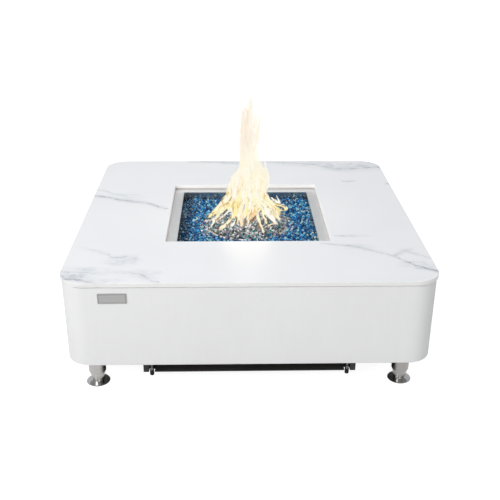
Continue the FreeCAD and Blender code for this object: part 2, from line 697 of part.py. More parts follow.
def top_frame():
    """Two long angle beams on the posts and two cross angles, welded round the burner pan."""
    top = PAN_FLANGE_BOTTOM
    pieces = []
    for sign in (-1, 1):
        inner = sign * PAN_RAIL_INNER
        outer = sign * PAN_RAIL_OUTER
        lip = sign * (PAN_RAIL_INNER + ANGLE_THICKNESS)
        pieces.append(block(-FRAME_HALF, FRAME_HALF, inner, outer, top - ANGLE_THICKNESS, top))
        pieces.append(block(-PAN_RAIL_OUTER, PAN_RAIL_OUTER, inner, lip, top - ANGLE_WIDTH, top))
        pieces.append(block(inner, outer, -PAN_RAIL_INNER, PAN_RAIL_INNER, top - ANGLE_THICKNESS, top))
        pieces.append(block(inner, lip, -PAN_RAIL_INNER, PAN_RAIL_INNER, top - ANGLE_WIDTH, top))
        far_lip = sign * (PAN_RAIL_OUTER - ANGLE_THICKNESS)
        for side in (-1, 1):
            pieces.append(block(side * PAN_RAIL_OUTER, side * (FRAME_HALF - ANGLE_WIDTH - ANGLE_THICKNESS),
                                outer, far_lip, top - ANGLE_WIDTH, top))
    holes = []
    for point in pan_screw_points():
        holes.append(upright_rod(M5_RADIUS + RUNNING_CLEARANCE, point.x, point.y,
                                 top - ANGLE_THICKNESS - CUT_OVERLAP, top + CUT_MARGIN))
    for point in corner_points(POST_MIDDLE_X, POST_MIDDLE_Y):
        holes.append(upright_rod(M6_RADIUS + SCREW_CLEARANCE, point.x, point.y,
                                 top - ANGLE_THICKNESS - CUT_OVERLAP, top + CUT_MARGIN))
    return without(joined(pieces), holes)


def top_frame_bolts():
    """Screws and nuts that clamp the top frame to the caps of the posts."""
    pieces = []
    grip = 2 * ANGLE_THICKNESS
    for point in corner_points(POST_MIDDLE_X, POST_MIDDLE_Y):
        seat = Vector(point.x, point.y, PAN_FLANGE_BOTTOM)
        pieces.append(screw(M6_RADIUS, seat, -Z_AXIS, grip + M6_RADIUS * NUT_HEIGHT_RATIO + ANGLE_THICKNESS / 2))
        pieces.append(nut(M6_RADIUS, seat - Z_AXIS * grip, -Z_AXIS))
    return pieces


# ---------------------------------------------------------------- legs and levelling feet
def leg(sign_x, sign_y):
    """Stainless tube welded under a square top plate."""
    x = sign_x * LEG_CENTRE
    y = sign_y * LEG_CENTRE
    plate = rounded_block(LEG_PLATE_WIDTH / 2, LEG_PLATE_WIDTH / 2, LEG_PLATE_CORNER, LEG_PLATE_BOTTOM, SHELL_BOTTOM)
    plate.translate(Vector(x, y, 0))
    holes = []
    for offset in corner_points(LEG_SCREW_SPACING / 2, LEG_SCREW_SPACING / 2):
        holes.append(upright_rod(M8_RADIUS + SCREW_CLEARANCE, x + offset.x, y + offset.y,
                                 LEG_PLATE_BOTTOM - CUT_MARGIN, SHELL_BOTTOM + CUT_MARGIN))
    wall = upright_rod(LEG_RADIUS, x, y, FOOT_SHOULDER, LEG_PLATE_BOTTOM)
    holes.append(upright_rod(LEG_RADIUS - LEG_WALL, x, y, FOOT_SHOULDER - CUT_MARGIN, LEG_PLATE_BOTTOM))
    return without(joined([plate, wall]), holes)


def leg_screws():
    seat = LEG_PLATE_BOTTOM
    return [screw(M8_RADIUS, Vector(point.x, point.y, seat), Z_AXIS, LEG_SCREW_LENGTH)
            for point in leg_screw_points()]


def leg_plugs():
    """Threaded plugs in the lower ends of the leg tubes."""
    plugs = []
    for point in corner_points(LEG_CENTRE, LEG_CENTRE):
        body = upright_rod(LEG_RADIUS - LEG_WALL - RUNNING_CLEARANCE, point.x, point.y,
                           FOOT_SHOULDER, FOOT_SHOULDER + LEG_PLUG_LENGTH)
        bore = upright_rod(FOOT_STUD_RADIUS + RUNNING_CLEARANCE, point.x, point.y,
                           FOOT_SHOULDER - CUT_MARGIN, FOOT_SHOULDER + LEG_PLUG_LENGTH + CUT_MARGIN)
        plugs.append(body.cut(bore))
    return plugs


def levelling_foot(sign_x, sign_y):
    x = sign_x * LEG_CENTRE
    y = sign_y * LEG_CENTRE
    disc = upright_rod(FOOT_DISC_RADIUS, x, y, FOOT_PAD_THICKNESS, FOOT_DISC_TOP)
    disc = disc.makeFillet(FOOT_DISC_FILLET, level_edges(disc, FOOT_DISC_TOP))
    neck = Part.makeCone(FOOT_NECK_LOW_RADIUS, FOOT_NECK_TOP_RADIUS, FOOT_NECK_LENGTH, Vector(x, y, FOOT_DISC_TOP))
    neck = neck.makeChamfer(FOOT_NECK_CHAMFER, level_edges(neck, FOOT_SHOULDER))
    stud = upright_rod(FOOT_STUD_RADIUS, x, y, FOOT_SHOULDER, FOOT_SHOULDER + FOOT_STUD_LENGTH)
    return joined([disc, neck, stud])


def foot_pad(sign_x, sign_y):
    return upright_rod(FOOT_PAD_RADIUS, sign_x * LEG_CENTRE, sign_y * LEG_CENTRE, 0, FOOT_PAD_THICKNESS)


# ---------------------------------------------------------------- burner pan
def burner_pan():
    """Folded sheet pan: a wide flange, straight walls and a floor with its drains."""
    flange = rounded_block(PAN_FLANGE_HALF, PAN_FLANGE_HALF, PAN_CORNER_RADIUS, PAN_FLANGE_BOTTOM, PAN_FLANGE_TOP)
    outer_half = PAN_HALF + SHEET
    tub = rounded_block(outer_half, outer_half, PAN_CORNER_RADIUS + SHEET, PAN_BOTTOM, PAN_FLANGE_TOP)
    pan = joined([flange, tub])
    well = rounded_block(PAN_HALF, PAN_HALF, PAN_CORNER_RADIUS, PAN_FLOOR, PAN_FLANGE_TOP + CUT_MARGIN)
    pan = pan.cut(well)
    mouth = []
    for edge in level_edges(pan, PAN_FLANGE_TOP):
        box = edge.BoundBox
        if max(abs(box.XMin), abs(box.XMax), abs(box.YMin), abs(box.YMax)) < PAN_HALF + SHEET / 2:
            mouth.append(edge)
    pan = pan.makeFillet(PAN_BEND_RADIUS, mouth)
    tools = [upright_rod(NIPPLE_RADIUS + SCREW_CLEARANCE, 0, 0, PAN_BOTTOM - CUT_MARGIN, PAN_FLOOR + CUT_OVERLAP)]
    tools.append(upright_rod(GROMMET_RADIUS - GROMMET_LIP + RUNNING_CLEARANCE, 0, PROBE_Y,
                             PAN_BOTTOM - CUT_MARGIN, PAN_FLOOR + CUT_OVERLAP))
    for point in corner_points(PAN_DRAIN_OFFSET, PAN_DRAIN_OFFSET):
        tools.append(upright_rod(PAN_DRAIN_RADIUS, point.x, point.y, PAN_BOTTOM - CUT_MARGIN, PAN_FLOOR + CUT_OVERLAP))
    for point in pan_screw_points():
        tools.append(upright_rod(M5_RADIUS + SCREW_CLEARANCE, point.x, point.y,
                                 PAN_FLANGE_BOTTOM - CUT_OVERLAP, PAN_FLANGE_TOP + CUT_OVERLAP))
    return without(pan, tools)


def pan_screws():
    return [screw(M5_RADIUS, Vector(point.x, point.y, PAN_FLANGE_TOP), -Z_AXIS, PAN_SCREW_LENGTH)
            for point in pan_screw_points()]


# ---------------------------------------------------------------- ring burner and its feed
def burner_form(growth, hub_bottom):
    """Ring, crossbar and hub, grown outward or, with a negative growth, inward."""
    ring = Part.makeTorus(BURNER_RING_RADIUS, BURNER_TUBE_RADIUS + growth, Vector(0, 0, BURNER_AXIS_Z))
    bar = rod(BURNER_BAR_RADIUS + growth,
              Vector(-BURNER_RING_RADIUS, 0, BURNER_AXIS_Z), Vector(BURNER_RING_RADIUS, 0, BURNER_AXIS_Z))
    hub = upright_rod(BURNER_HUB_RADIUS + growth, 0, 0, hub_bottom, BURNER_TOP + growth)
    return joined([ring, bar, hub])


def port_points():
    points = []
    for index in range(RING_PORTS):
        angle = 2 * math.pi * (index + 0.5) / RING_PORTS
        points.append((BURNER_RING_RADIUS * math.cos(angle), BURNER_RING_RADIUS * math.sin(angle)))
    pitch = (BURNER_RING_RADIUS - BURNER_HUB_RADIUS - BURNER_TUBE_RADIUS) / (BAR_PORTS + 1)
    for index in range(BAR_PORTS):
        for sign in (-1, 1):
            points.append((sign * (BURNER_HUB_RADIUS + pitch * (index + 1)), 0))
    return points


def ring_burner():
    """Hollow ring with a hollow crossbar, a socketed hub and gas ports along the top."""
    body = burner_form(0, HUB_BOTTOM)
    hollow = burner_form(-BURNER_WALL, NIPPLE_TOP)
    hollow = hollow.common(block(-TABLE_HALF, TABLE_HALF, -TABLE_HALF, TABLE_HALF, NIPPLE_TOP, BURNER_TOP))
    socket = upright_rod(NIPPLE_RADIUS + RUNNING_CLEARANCE, 0, 0, HUB_BOTTOM - CUT_MARGIN, NIPPLE_TOP + CUT_OVERLAP)
    tools = [socket]
    for x, y in port_points():
        tools.append(upright_rod(PORT_RADIUS, x, y, BURNER_AXIS_Z, BURNER_TOP + CUT_MARGIN))
    return without(body.cut(hollow), tools)


def burner_nipple():
    outside = upright_rod(NIPPLE_RADIUS, 0, 0, NIPPLE_BOTTOM, NIPPLE_TOP)
    return outside.cut(upright_rod(NIPPLE_BORE_RADIUS, 0, 0, NIPPLE_BOTTOM - CUT_MARGIN, NIPPLE_TOP + CUT_MARGIN))


def pan_locknuts():
    nuts = []
    for low in (PAN_FLOOR, PAN_BOTTOM - LOCKNUT_HEIGHT):
        body = hexagon(LOCKNUT_FLATS, Vector(0, 0, low), Vector(0, 0, low + LOCKNUT_HEIGHT))
        hole = upright_rod(NIPPLE_RADIUS + RUNNING_CLEARANCE, 0, 0, low - CUT_OVERLAP, low + LOCKNUT_HEIGHT + CUT_OVERLAP)
        nuts.append(body.cut(hole))
    return nuts


def air_mixer():
    """Mixing chamber under the nipple, with four air windows round its orifice."""
    body = upright_rod(MIXER_RADIUS, 0, 0, MIXER_BOTTOM, MIXER_TOP)
    window_low = MIXER_BOTTOM + MIXER_WINDOW_RISE
    window_high = window_low + MIXER_WINDOW_HEIGHT
    half = MIXER_WINDOW_WIDTH / 2
    reach = MIXER_RADIUS + CUT_MARGIN
    tools = [
        upright_rod(NIPPLE_RADIUS + RUNNING_CLEARANCE, 0, 0, NIPPLE_BOTTOM, MIXER_TOP + CUT_MARGIN),
        upright_rod(MIXER_CHAMBER_RADIUS, 0, 0, MIXER_BOTTOM + MIXER_FLOOR, NIPPLE_BOTTOM + CUT_OVERLAP),
        upright_rod(ELBOW_SPIGOT_RADIUS + RUNNING_CLEARANCE, 0, 0,
                    MIXER_BOTTOM - CUT_MARGIN, MIXER_BOTTOM + MIXER_FLOOR + CUT_OVERLAP),
        block(-half, half, -reach, reach, window_low, window_high),
        block(-reach, reach, -half, half, window_low, window_high),
    ]
    return without(body, tools)


def orifice_elbow():
    """Square elbow: a spigot with the gas orifice above, the feed pipe's socket on the right."""
    half = ELBOW_SIDE / 2
    spigot_top = MIXER_BOTTOM + MIXER_FLOOR + ORIFICE_LENGTH
    body = block(-half, half, -half, half, MIXER_BOTTOM - ELBOW_SIDE, MIXER_BOTTOM)
    body = body.makeFillet(ELBOW_FILLET, upright_edges(body))
    spigot = upright_rod(ELBOW_SPIGOT_RADIUS, 0, 0, MIXER_BOTTOM - CUT_OVERLAP, spigot_top)
    axis_point = Vector(0, 0, ELBOW_AXIS_Z)
    tools = [
        upright_rod(ELBOW_RISER_RADIUS, 0, 0, ELBOW_AXIS_Z, spigot_top - ORIFICE_LENGTH),
        upright_rod(ORIFICE_RADIUS, 0, 0, ELBOW_AXIS_Z, spigot_top + CUT_MARGIN),
        rod(ELBOW_BORE_RADIUS, axis_point, axis_point + X_AXIS * (half + CUT_MARGIN)),
        rod(PIPE_RADIUS + RUNNING_CLEARANCE, axis_point + X_AXIS * (half - ELBOW_SOCKET_DEPTH),
            axis_point + X_AXIS * (half + CUT_MARGIN)),
    ]
    return without(joined([body, spigot]), tools)


def burner_feed_pipe():
    drop_y = VALVE_OUTLET_END - FEED_RISER_SETBACK
    points = [
        Vector(ELBOW_SIDE / 2 - ELBOW_SOCKET_DEPTH, 0, ELBOW_AXIS_Z),
        Vector(VALVE_X, 0, ELBOW_AXIS_Z),
        Vector(VALVE_X, drop_y, ELBOW_AXIS_Z),
        Vector(VALVE_X, drop_y, VALVE_OUTLET_Z),
        Vector(VALVE_X, VALVE_OUTLET_END + VALVE_PORT_LENGTH / 2, VALVE_OUTLET_Z),
    ]
    return bent_tube(points, PIPE_BEND_RADIUS, PIPE_RADIUS, PIPE_WALL)


# ---------------------------------------------------------------- ignition set in the pan
def probe_x(sign):
    return sign * PROBE_SPACING / 2


def igniter_bracket():
    """Folded strip that stands on the pan floor and holds both probes in its shelf."""
    half = BRACKET_WIDTH / 2
    front = BRACKET_BACK - BRACKET_REACH
    pieces = [
        block(-half, half, BRACKET_BACK - BRACKET_SHEET, BRACKET_BACK - BRACKET_SHEET + BRACKET_FOOT,
              PAN_FLOOR, PAN_FLOOR + BRACKET_SHEET),
        block(-half, half, BRACKET_BACK - BRACKET_SHEET, BRACKET_BACK, PAN_FLOOR, SHELF_Z),
        block(-half, half, front, BRACKET_BACK, SHELF_Z - BRACKET_SHEET, SHELF_Z),
    ]
    tools = [
        upright_rod(ELECTRODE_RADIUS + RUNNING_CLEARANCE, probe_x(-1), PROBE_Y,
                    SHELF_Z - CUT_MARGIN, SHELF_Z + CUT_OVERLAP),
        upright_rod(THERMOCOUPLE_RADIUS + RUNNING_CLEARANCE, probe_x(1), PROBE_Y,
                    SHELF_Z - CUT_MARGIN, SHELF_Z + CUT_OVERLAP),
    ]
    return without(joined(pieces), tools)


def spark_electrode():
    """Ceramic post with a collar on the shelf and a wire tip bent towards the ring."""
    x = probe_x(-1)
    post = upright_rod(ELECTRODE_RADIUS, x, PROBE_Y, ELECTRODE_TOP - ELECTRODE_LENGTH, ELECTRODE_TOP)
    collar = upright_rod(ELECTRODE_COLLAR_RADIUS, x, PROBE_Y, SHELF_Z, SHELF_Z + ELECTRODE_COLLAR_HEIGHT)
    rise = ELECTRODE_TOP + ELECTRODE_TIP_RISE
    points = [
        Vector(x, PROBE_Y, ELECTRODE_TOP),
        Vector(x, PROBE_Y, rise),
        Vector(x, PROBE_Y - IGNITION_GAP + ELECTRODE_TIP_RADIUS, rise),
    ]
    tip = bent_rod(points, ELECTRODE_TIP_BEND, ELECTRODE_TIP_RADIUS)
    return joined([post, collar, tip])


def thermocouple():
    x = probe_x(1)
    probe = upright_rod(THERMOCOUPLE_RADIUS, x, PROBE_Y, THERMOCOUPLE_TOP - THERMOCOUPLE_LENGTH, THERMOCOUPLE_TOP)
    probe = probe.makeFillet(THERMOCOUPLE_TIP_FILLET, level_edges(probe, THERMOCOUPLE_TOP))
    collar = upright_rod(THERMOCOUPLE_COLLAR_RADIUS, x, PROBE_Y, SHELF_Z, SHELF_Z + ELECTRODE_COLLAR_HEIGHT)
    return joined([probe, collar])


def lead_grommet():
    """Rubber grommet in the pan floor, with one hole for each lead."""
    waist = GROMMET_RADIUS - GROMMET_LIP
    pieces = [
        upright_rod(GROMMET_RADIUS, 0, PROBE_Y, PAN_FLOOR, PAN_FLOOR + GROMMET_LIP),
        upright_rod(waist, 0, PROBE_Y, PAN_BOTTOM, PAN_FLOOR),
        upright_rod(GROMMET_RADIUS, 0, PROBE_Y, PAN_BOTTOM - GROMMET_LIP, PAN_BOTTOM),
    ]
    tools = []
    for sign in (-1, 1):
        tools.append(upright_rod(LEAD_RADIUS + RUNNING_CLEARANCE, probe_x(sign), PROBE_Y,
                                 PAN_BOTTOM - CUT_MARGIN, PAN_FLOOR + CUT_MARGIN))
    return without(joined(pieces), tools)


def ignition_lead():
    x = probe_x(-1)
    level = PAN_BOTTOM - NIPPLE_BELOW_PAN
    points = [
        Vector(IGNITER_X, IGNITER_BACK, CONTROL_Z),
        Vector(IGNITER_X, IGNITER_BACK - LEAD_STRAIGHT, CONTROL_Z),
        Vector(CONTROL_X, PAN_HALF + LEAD_PAN_CLEARANCE, level),
        Vector(x + LEAD_SIDE_SETBACK, PROBE_Y + LEAD_BEND_RADIUS, level),
        Vector(x, PROBE_Y, level),
        Vector(x, PROBE_Y, ELECTRODE_TOP - ELECTRODE_LENGTH),
    ]
    return bent_rod(points, LEAD_BEND_RADIUS, LEAD_RADIUS)


def thermocouple_lead():
    x = probe_x(1)
    port = Vector(VALVE_X - PROBE_PORT_OFFSET, VALVE_BACK, CONTROL_Z + PROBE_PORT_OFFSET)
    level = PAN_BOTTOM - NIPPLE_BELOW_PAN / 2
    points = [
        port,
        port - Y_AXIS * PROBE_LEAD_STRAIGHT,
        Vector(port.x - PROBE_LEAD_STRAIGHT, PAN_HALF + PROBE_LEAD_STRAIGHT, level),
        Vector(x + LEAD_SIDE_SETBACK, PROBE_Y + PROBE_LEAD_REAR, level),
        Vector(x, PROBE_Y, level),
        Vector(x, PROBE_Y, THERMOCOUPLE_TOP - THERMOCOUPLE_LENGTH),
    ]
    return bent_rod(points, LEAD_BEND_RADIUS, LEAD_RADIUS)


# ---------------------------------------------------------------- glass bed
def flat_face(corners):
    return Part.Face(Part.makePolygon([*corners, corners[0]]))


def chip_grid(half):
    """Grid of chip tops, scattered inside its straight outer lines."""
    chance = random.Random(GLASS_SEED)
    steps = 2 * round(half / GLASS_CHIP_PITCH)
    grid = []
    for column in range(steps + 1):
        line = []
        for row in range(steps + 1):
            shift_x = chance.uniform(-GLASS_CHIP_SHIFT, GLASS_CHIP_SHIFT)
            shift_y = chance.uniform(-GLASS_CHIP_SHIFT, GLASS_CHIP_SHIFT)
            x = half * (2 * column / steps - 1) + (shift_x if 0 < column < steps else 0)
            y = half * (2 * row / steps - 1) + (shift_y if 0 < row < steps else 0)
            line.append(Vector(x, y, chance.uniform(GLASS_LOW, GLASS_HIGH)))
        grid.append(line)
    return grid


def rough_bed(half, floor_z):
    """Block whose top is jagged: two facets between each four neighbouring chips."""
    grid = chip_grid(half)
    faces = []
    for near, far in zip(grid, grid[1:]):
        for a, b, c, d in zip(near, far, far[1:], near[1:]):
            faces.append(flat_face([a, b, c]))
            faces.append(flat_face([a, c, d]))
    for line in (grid[0], grid[-1], [line[0] for line in grid], [line[-1] for line in grid]):
        first, last = line[0], line[-1]
        faces.append(flat_face([*line, Vector(last.x, last.y, floor_z), Vector(first.x, first.y, floor_z)]))
    corners = ((-half, -half), (half, -half), (half, half), (-half, half))
    faces.append(flat_face([Vector(x, y, floor_z) for x, y in corners]))
    shell = Part.makeShell(faces)
    shell.sewShape()
    bed = Part.makeSolid(shell)
    return bed if bed.Volume > 0 else bed.reversed()


def bare_arcs():
    """Slots in the glass where the ring is left uncovered."""
    slots = []
    centre = Vector(0, 0, BURNER_AXIS_Z)
    height = GLASS_HIGH + CUT_MARGIN - BURNER_AXIS_Z
    for start, sweep in BARE_ARCS:
        outer = Part.makeCylinder(BURNER_RING_RADIUS + BURNER_TUBE_RADIUS, height, centre, Z_AXIS, sweep)
        inner = Part.makeCylinder(BURNER_RING_RADIUS - BURNER_TUBE_RADIUS, height, centre, Z_AXIS, sweep)
        slot = outer.cut(inner)
        slot.rotate(centre, Z_AXIS, start)
        slots.append(slot)
    return slots


def fire_glass():
    """Bed of crushed glass that fills the pan and covers most of the burner."""
    half = PAN_HALF - SEAT_CLEARANCE
    radius = PAN_CORNER_RADIUS - SEAT_CLEARANCE
    bed = rough_bed(half, PAN_FLOOR)
    bed = bed.common(rounded_block(half, half, radius, PAN_FLOOR, GLASS_HIGH + CUT_MARGIN))
    margin = GLASS_POCKET_MARGIN
    half_pocket = BRACKET_WIDTH / 2 + margin
    tools = [
        burner_form(SEAT_CLEARANCE, HUB_BOTTOM - SEAT_CLEARANCE),
        upright_rod(NIPPLE_RADIUS + SEAT_CLEARANCE, 0, 0, PAN_FLOOR - CUT_MARGIN, BURNER_AXIS_Z),
        upright_rod(LOCKNUT_FLATS / math.sqrt(3) + SEAT_CLEARANCE, 0, 0,
                    PAN_FLOOR - CUT_MARGIN, PAN_FLOOR + LOCKNUT_HEIGHT + SEAT_CLEARANCE),
        block(-half_pocket, half_pocket, BRACKET_BACK - BRACKET_REACH - margin,
              BRACKET_BACK - BRACKET_SHEET + BRACKET_FOOT + margin, PAN_FLOOR - CUT_MARGIN, GLASS_HIGH + CUT_MARGIN),
        upright_rod(GROMMET_RADIUS + SEAT_CLEARANCE, 0, PROBE_Y,
                    PAN_FLOOR - CUT_MARGIN, PAN_FLOOR + GROMMET_LIP + SEAT_CLEARANCE),
    ]
    return without(bed, tools + bare_arcs())


# ---------------------------------------------------------------- control box in the rear wall
def control_box():
    """Recessed sheet box: a rim on the outside of the wall, four walls and a floor."""
    rim_low = SHELL_HALF
    rim_high = SHELL_HALF + SHEET
    rim = control_opening(CONTROL_GAP + CONTROL_RIM, rim_low, rim_high)
    tub = control_opening(0, CONTROL_BACK, rim_high)
    hollow = control_opening(-SHEET, CONTROL_FACE, rim_high + CUT_MARGIN)
    tools = [
        hollow,
        rod(VALVE_NECK_RADIUS + RUNNING_CLEARANCE,
            Vector(VALVE_X, CONTROL_BACK - CUT_MARGIN, CONTROL_Z),
            Vector(VALVE_X, CONTROL_FACE + CUT_OVERLAP, CONTROL_Z)),
        rod(IGNITER_RADIUS + RUNNING_CLEARANCE,
            Vector(IGNITER_X, CONTROL_BACK - CUT_MARGIN, CONTROL_Z),
            Vector(IGNITER_X, CONTROL_FACE + CUT_OVERLAP, CONTROL_Z)),
    ]
    for x, z in control_screw_points():
        tools.append(rod(CONTROL_SCREW_RADIUS + SCREW_CLEARANCE,
                         Vector(x, rim_low - CUT_OVERLAP, z), Vector(x, rim_high + CUT_OVERLAP, z)))
    return without(joined([rim, tub]), tools)


def control_box_screws():
    rim_high = SHELL_HALF + SHEET
    return [screw(CONTROL_SCREW_RADIUS, Vector(x, rim_high, z), -Y_AXIS, CONTROL_SCREW_LENGTH)
            for x, z in control_screw_points()]


def gas_valve():
    """Valve block behind the box: neck for the stem, inlet port below, outlet port at the back."""
    half = VALVE_SIDE / 2
    body = block(VALVE_X - half, VALVE_X + half, VALVE_BACK, CONTROL_BACK, CONTROL_Z - half, CONTROL_Z + half)
    body = body.makeFillet(VALVE_FILLET, body.Edges)
    axis = Vector(VALVE_X, 0, CONTROL_Z)
    neck = rod(VALVE_NECK_RADIUS, axis + Y_AXIS * (CONTROL_BACK - VALVE_FILLET), axis + Y_AXIS * VALVE_NECK_END)
    pad = rod(half - VALVE_FILLET, axis + Y_AXIS * (CONTROL_BACK - VALVE_FILLET), axis + Y_AXIS * CONTROL_BACK)
    inlet = upright_rod(VALVE_PORT_RADIUS, VALVE_X, VALVE_INLET_Y, VALVE_INLET_END, CONTROL_Z)
    outlet_axis = Vector(VALVE_X, 0, VALVE_OUTLET_Z)
    outlet = rod(VALVE_PORT_RADIUS, outlet_axis + Y_AXIS * VALVE_OUTLET_END, outlet_axis + Y_AXIS * VALVE_INLET_Y)
    pipe_bore = PIPE_RADIUS + RUNNING_CLEARANCE
    tools = [
        rod(STEM_RADIUS + RUNNING_CLEARANCE, axis + Y_AXIS * (VALVE_NECK_END - STEM_IN_VALVE - STEM_BORE_SPARE),
            axis + Y_AXIS * (VALVE_NECK_END + CUT_MARGIN)),
        upright_rod(pipe_bore, VALVE_X, VALVE_INLET_Y,
                    VALVE_INLET_END - CUT_MARGIN, VALVE_INLET_END + VALVE_PORT_LENGTH / 2),
        rod(pipe_bore, outlet_axis + Y_AXIS * (VALVE_OUTLET_END - CUT_MARGIN),
            outlet_axis + Y_AXIS * (VALVE_OUTLET_END + VALVE_PORT_LENGTH / 2)),
    ]
    return without(joined([body, pad, neck, inlet, outlet]), tools)


def valve_stem():
    start = Vector(VALVE_X, VALVE_NECK_END - STEM_IN_VALVE, CONTROL_Z)
    end = Vector(VALVE_X, KNOB_BACK + STEM_IN_KNOB, CONTROL_Z)
    return rod(STEM_RADIUS, start, end)


def control_knob():
    """Round skirt with a straight grip bar and a pointer groove, bored for the stem."""
    axis = Vector(VALVE_X, 0, CONTROL_Z)
    skirt_ends = (axis + Y_AXIS * KNOB_BACK, axis + Y_AXIS * (KNOB_BACK + KNOB_SKIRT))
    skirt = rod(KNOB_RADIUS, *skirt_ends)
    skirt = skirt.makeFillet(KNOB_FILLET, rim_edges(skirt, skirt_ends[0]) + rim_edges(skirt, skirt_ends[1]))
    grip_end = KNOB_BACK + KNOB_SKIRT + KNOB_GRIP_HEIGHT
    half_width = KNOB_GRIP_WIDTH / 2
    bar = block(VALVE_X - half_width, VALVE_X + half_width, KNOB_BACK + KNOB_FILLET, grip_end,
                CONTROL_Z - KNOB_RADIUS, CONTROL_Z + KNOB_RADIUS)
    bar = bar.common(rod(KNOB_RADIUS - KNOB_FILLET, axis + Y_AXIS * KNOB_BACK, axis + Y_AXIS * grip_end))
    front = [edge for edge in bar.Edges if edge.BoundBox.YMin > grip_end - LEVEL_TOLERANCE]
    bar = bar.makeFillet(KNOB_FILLET, front)
    half_mark = KNOB_MARK_WIDTH / 2
    tools = [
        block(VALVE_X - half_mark, VALVE_X + half_mark, grip_end - KNOB_MARK_DEPTH, grip_end + CUT_OVERLAP,
              CONTROL_Z + KNOB_MARK_START, CONTROL_Z + KNOB_RADIUS + CUT_OVERLAP),
        rod(STEM_RADIUS + RUNNING_CLEARANCE, axis + Y_AXIS * (KNOB_BACK - CUT_OVERLAP),
            axis + Y_AXIS * (KNOB_BACK + STEM_IN_KNOB)),
    ]
    return without(joined([skirt, bar]), tools)


def igniter_body():
    axis = Vector(IGNITER_X, 0, CONTROL_Z)
    barrel = rod(IGNITER_RADIUS, axis + Y_AXIS * IGNITER_BACK, axis + Y_AXIS * IGNITER_FRONT)
    flange = rod(IGNITER_FLANGE_RADIUS, axis + Y_AXIS * CONTROL_FACE, axis + Y_AXIS * IGNITER_FRONT)
    bore_end = BUTTON_FRONT - BUTTON_LENGTH - BUTTON_TRAVEL - BUTTON_BORE_SPARE
    bore = rod(BUTTON_RADIUS + RUNNING_CLEARANCE, axis + Y_AXIS * bore_end,
               axis + Y_AXIS * (IGNITER_FRONT + CUT_OVERLAP))
    return without(joined([barrel, flange]), [bore])


def igniter_button():
    axis = Vector(IGNITER_X, 0, CONTROL_Z)
    front = axis + Y_AXIS * BUTTON_FRONT
    button = rod(BUTTON_RADIUS, front - Y_AXIS * BUTTON_LENGTH, front)
    return button.makeFillet(BUTTON_FILLET, rim_edges(button, front))


def panel_nut(x, radius, start_y, direction):
    start = Vector(x, start_y, CONTROL_Z)
    end = start + direction * PANEL_NUT_HEIGHT
    body = hexagon(2 * (radius + PANEL_NUT_RIM), start, end)
    return body.cut(rod(radius + RUNNING_CLEARANCE, start - direction, end + direction))


def panel_nuts():
    """Nut of the valve neck in the box, and nut of the igniter behind the box."""
    return [
        panel_nut(VALVE_X, VALVE_NECK_RADIUS, CONTROL_FACE, Y_AXIS),
        panel_nut(IGNITER_X, IGNITER_RADIUS, CONTROL_BACK, -Y_AXIS),
    ]


# ---------------------------------------------------------------- gas inlet under the rear edge
def inlet_bracket():
    """Angle bracket under the shell's rear flange, holding the hose connection."""
    half = INLET_BRACKET_WIDTH / 2
    top = SHELL_BOTTOM
    pieces = [
        block(INLET_X - half, INLET_X + half, INLET_Y, INLET_Y + INLET_BRACKET_DEPTH, top - ANGLE_THICKNESS, top),
        block(INLET_X - half, INLET_X + half, INLET_Y - ANGLE_THICKNESS, INLET_Y, top - INLET_BRACKET_DROP, top),
    ]
    hole = rod(INLET_BARREL_RADIUS + RUNNING_CLEARANCE,
               Vector(INLET_X, INLET_Y - CUT_MARGIN, INLET_Z), Vector(INLET_X, INLET_Y + CUT_OVERLAP, INLET_Z))
    return without(joined(pieces), [hole])


def inlet_fitting():
    """Male connection for the hose, with its hexagon against the bracket."""
    axis = Vector(INLET_X, 0, INLET_Z)
    hex_end = INLET_Y + INLET_HEX_LENGTH
    thread_end = hex_end + INLET_THREAD_LENGTH
    barrel_end = INLET_Y - INLET_BARREL_LENGTH
    pieces = [
        hexagon(INLET_HEX_FLATS, axis + Y_AXIS * INLET_Y, axis + Y_AXIS * hex_end),
        rod(INLET_THREAD_RADIUS, axis + Y_AXIS * hex_end, axis + Y_AXIS * thread_end),
        rod(INLET_BARREL_RADIUS, axis + Y_AXIS * barrel_end, axis + Y_AXIS * INLET_Y),
    ]
    tools = [
        rod(INLET_BORE_RADIUS, axis + Y_AXIS * (barrel_end - CUT_OVERLAP), axis + Y_AXIS * (thread_end + CUT_OVERLAP)),
        rod(PIPE_RADIUS + RUNNING_CLEARANCE, axis + Y_AXIS * (barrel_end - CUT_OVERLAP),
            axis + Y_AXIS * (barrel_end + INLET_BARREL_LENGTH / 2)),
    ]
    return without(joined(pieces), tools)


def inlet_nut():
    start = Vector(INLET_X, INLET_Y - ANGLE_THICKNESS, INLET_Z)
    end = start - Y_AXIS * PANEL_NUT_HEIGHT
    body = hexagon(INLET_HEX_FLATS, start, end)
    return body.cut(rod(INLET_BARREL_RADIUS + RUNNING_CLEARANCE, start + Y_AXIS, end - Y_AXIS))


def inlet_pipe():
    """Pipe from the hose connection up into the shell and on to the valve's inlet port."""
    port_z = VALVE_INLET_END + VALVE_PORT_LENGTH / 2
    riser_y = BOTTOM_FLANGE_HALF - INLET_RISER_SETBACK
    level = port_z - INLET_RUN_DROP
    points = [
        Vector(INLET_X, INLET_Y - INLET_BARREL_LENGTH / 2, INLET_Z),
        Vector(INLET_X, riser_y, INLET_Z),
        Vector(INLET_X, riser_y, level),
        Vector(VALVE_X, riser_y, level),
        Vector(VALVE_X, VALVE_INLET_Y, level),
        Vector(VALVE_X, VALVE_INLET_Y, port_z),
    ]
    return bent_tube(points, PIPE_BEND_RADIUS, PIPE_RADIUS, PIPE_WALL)


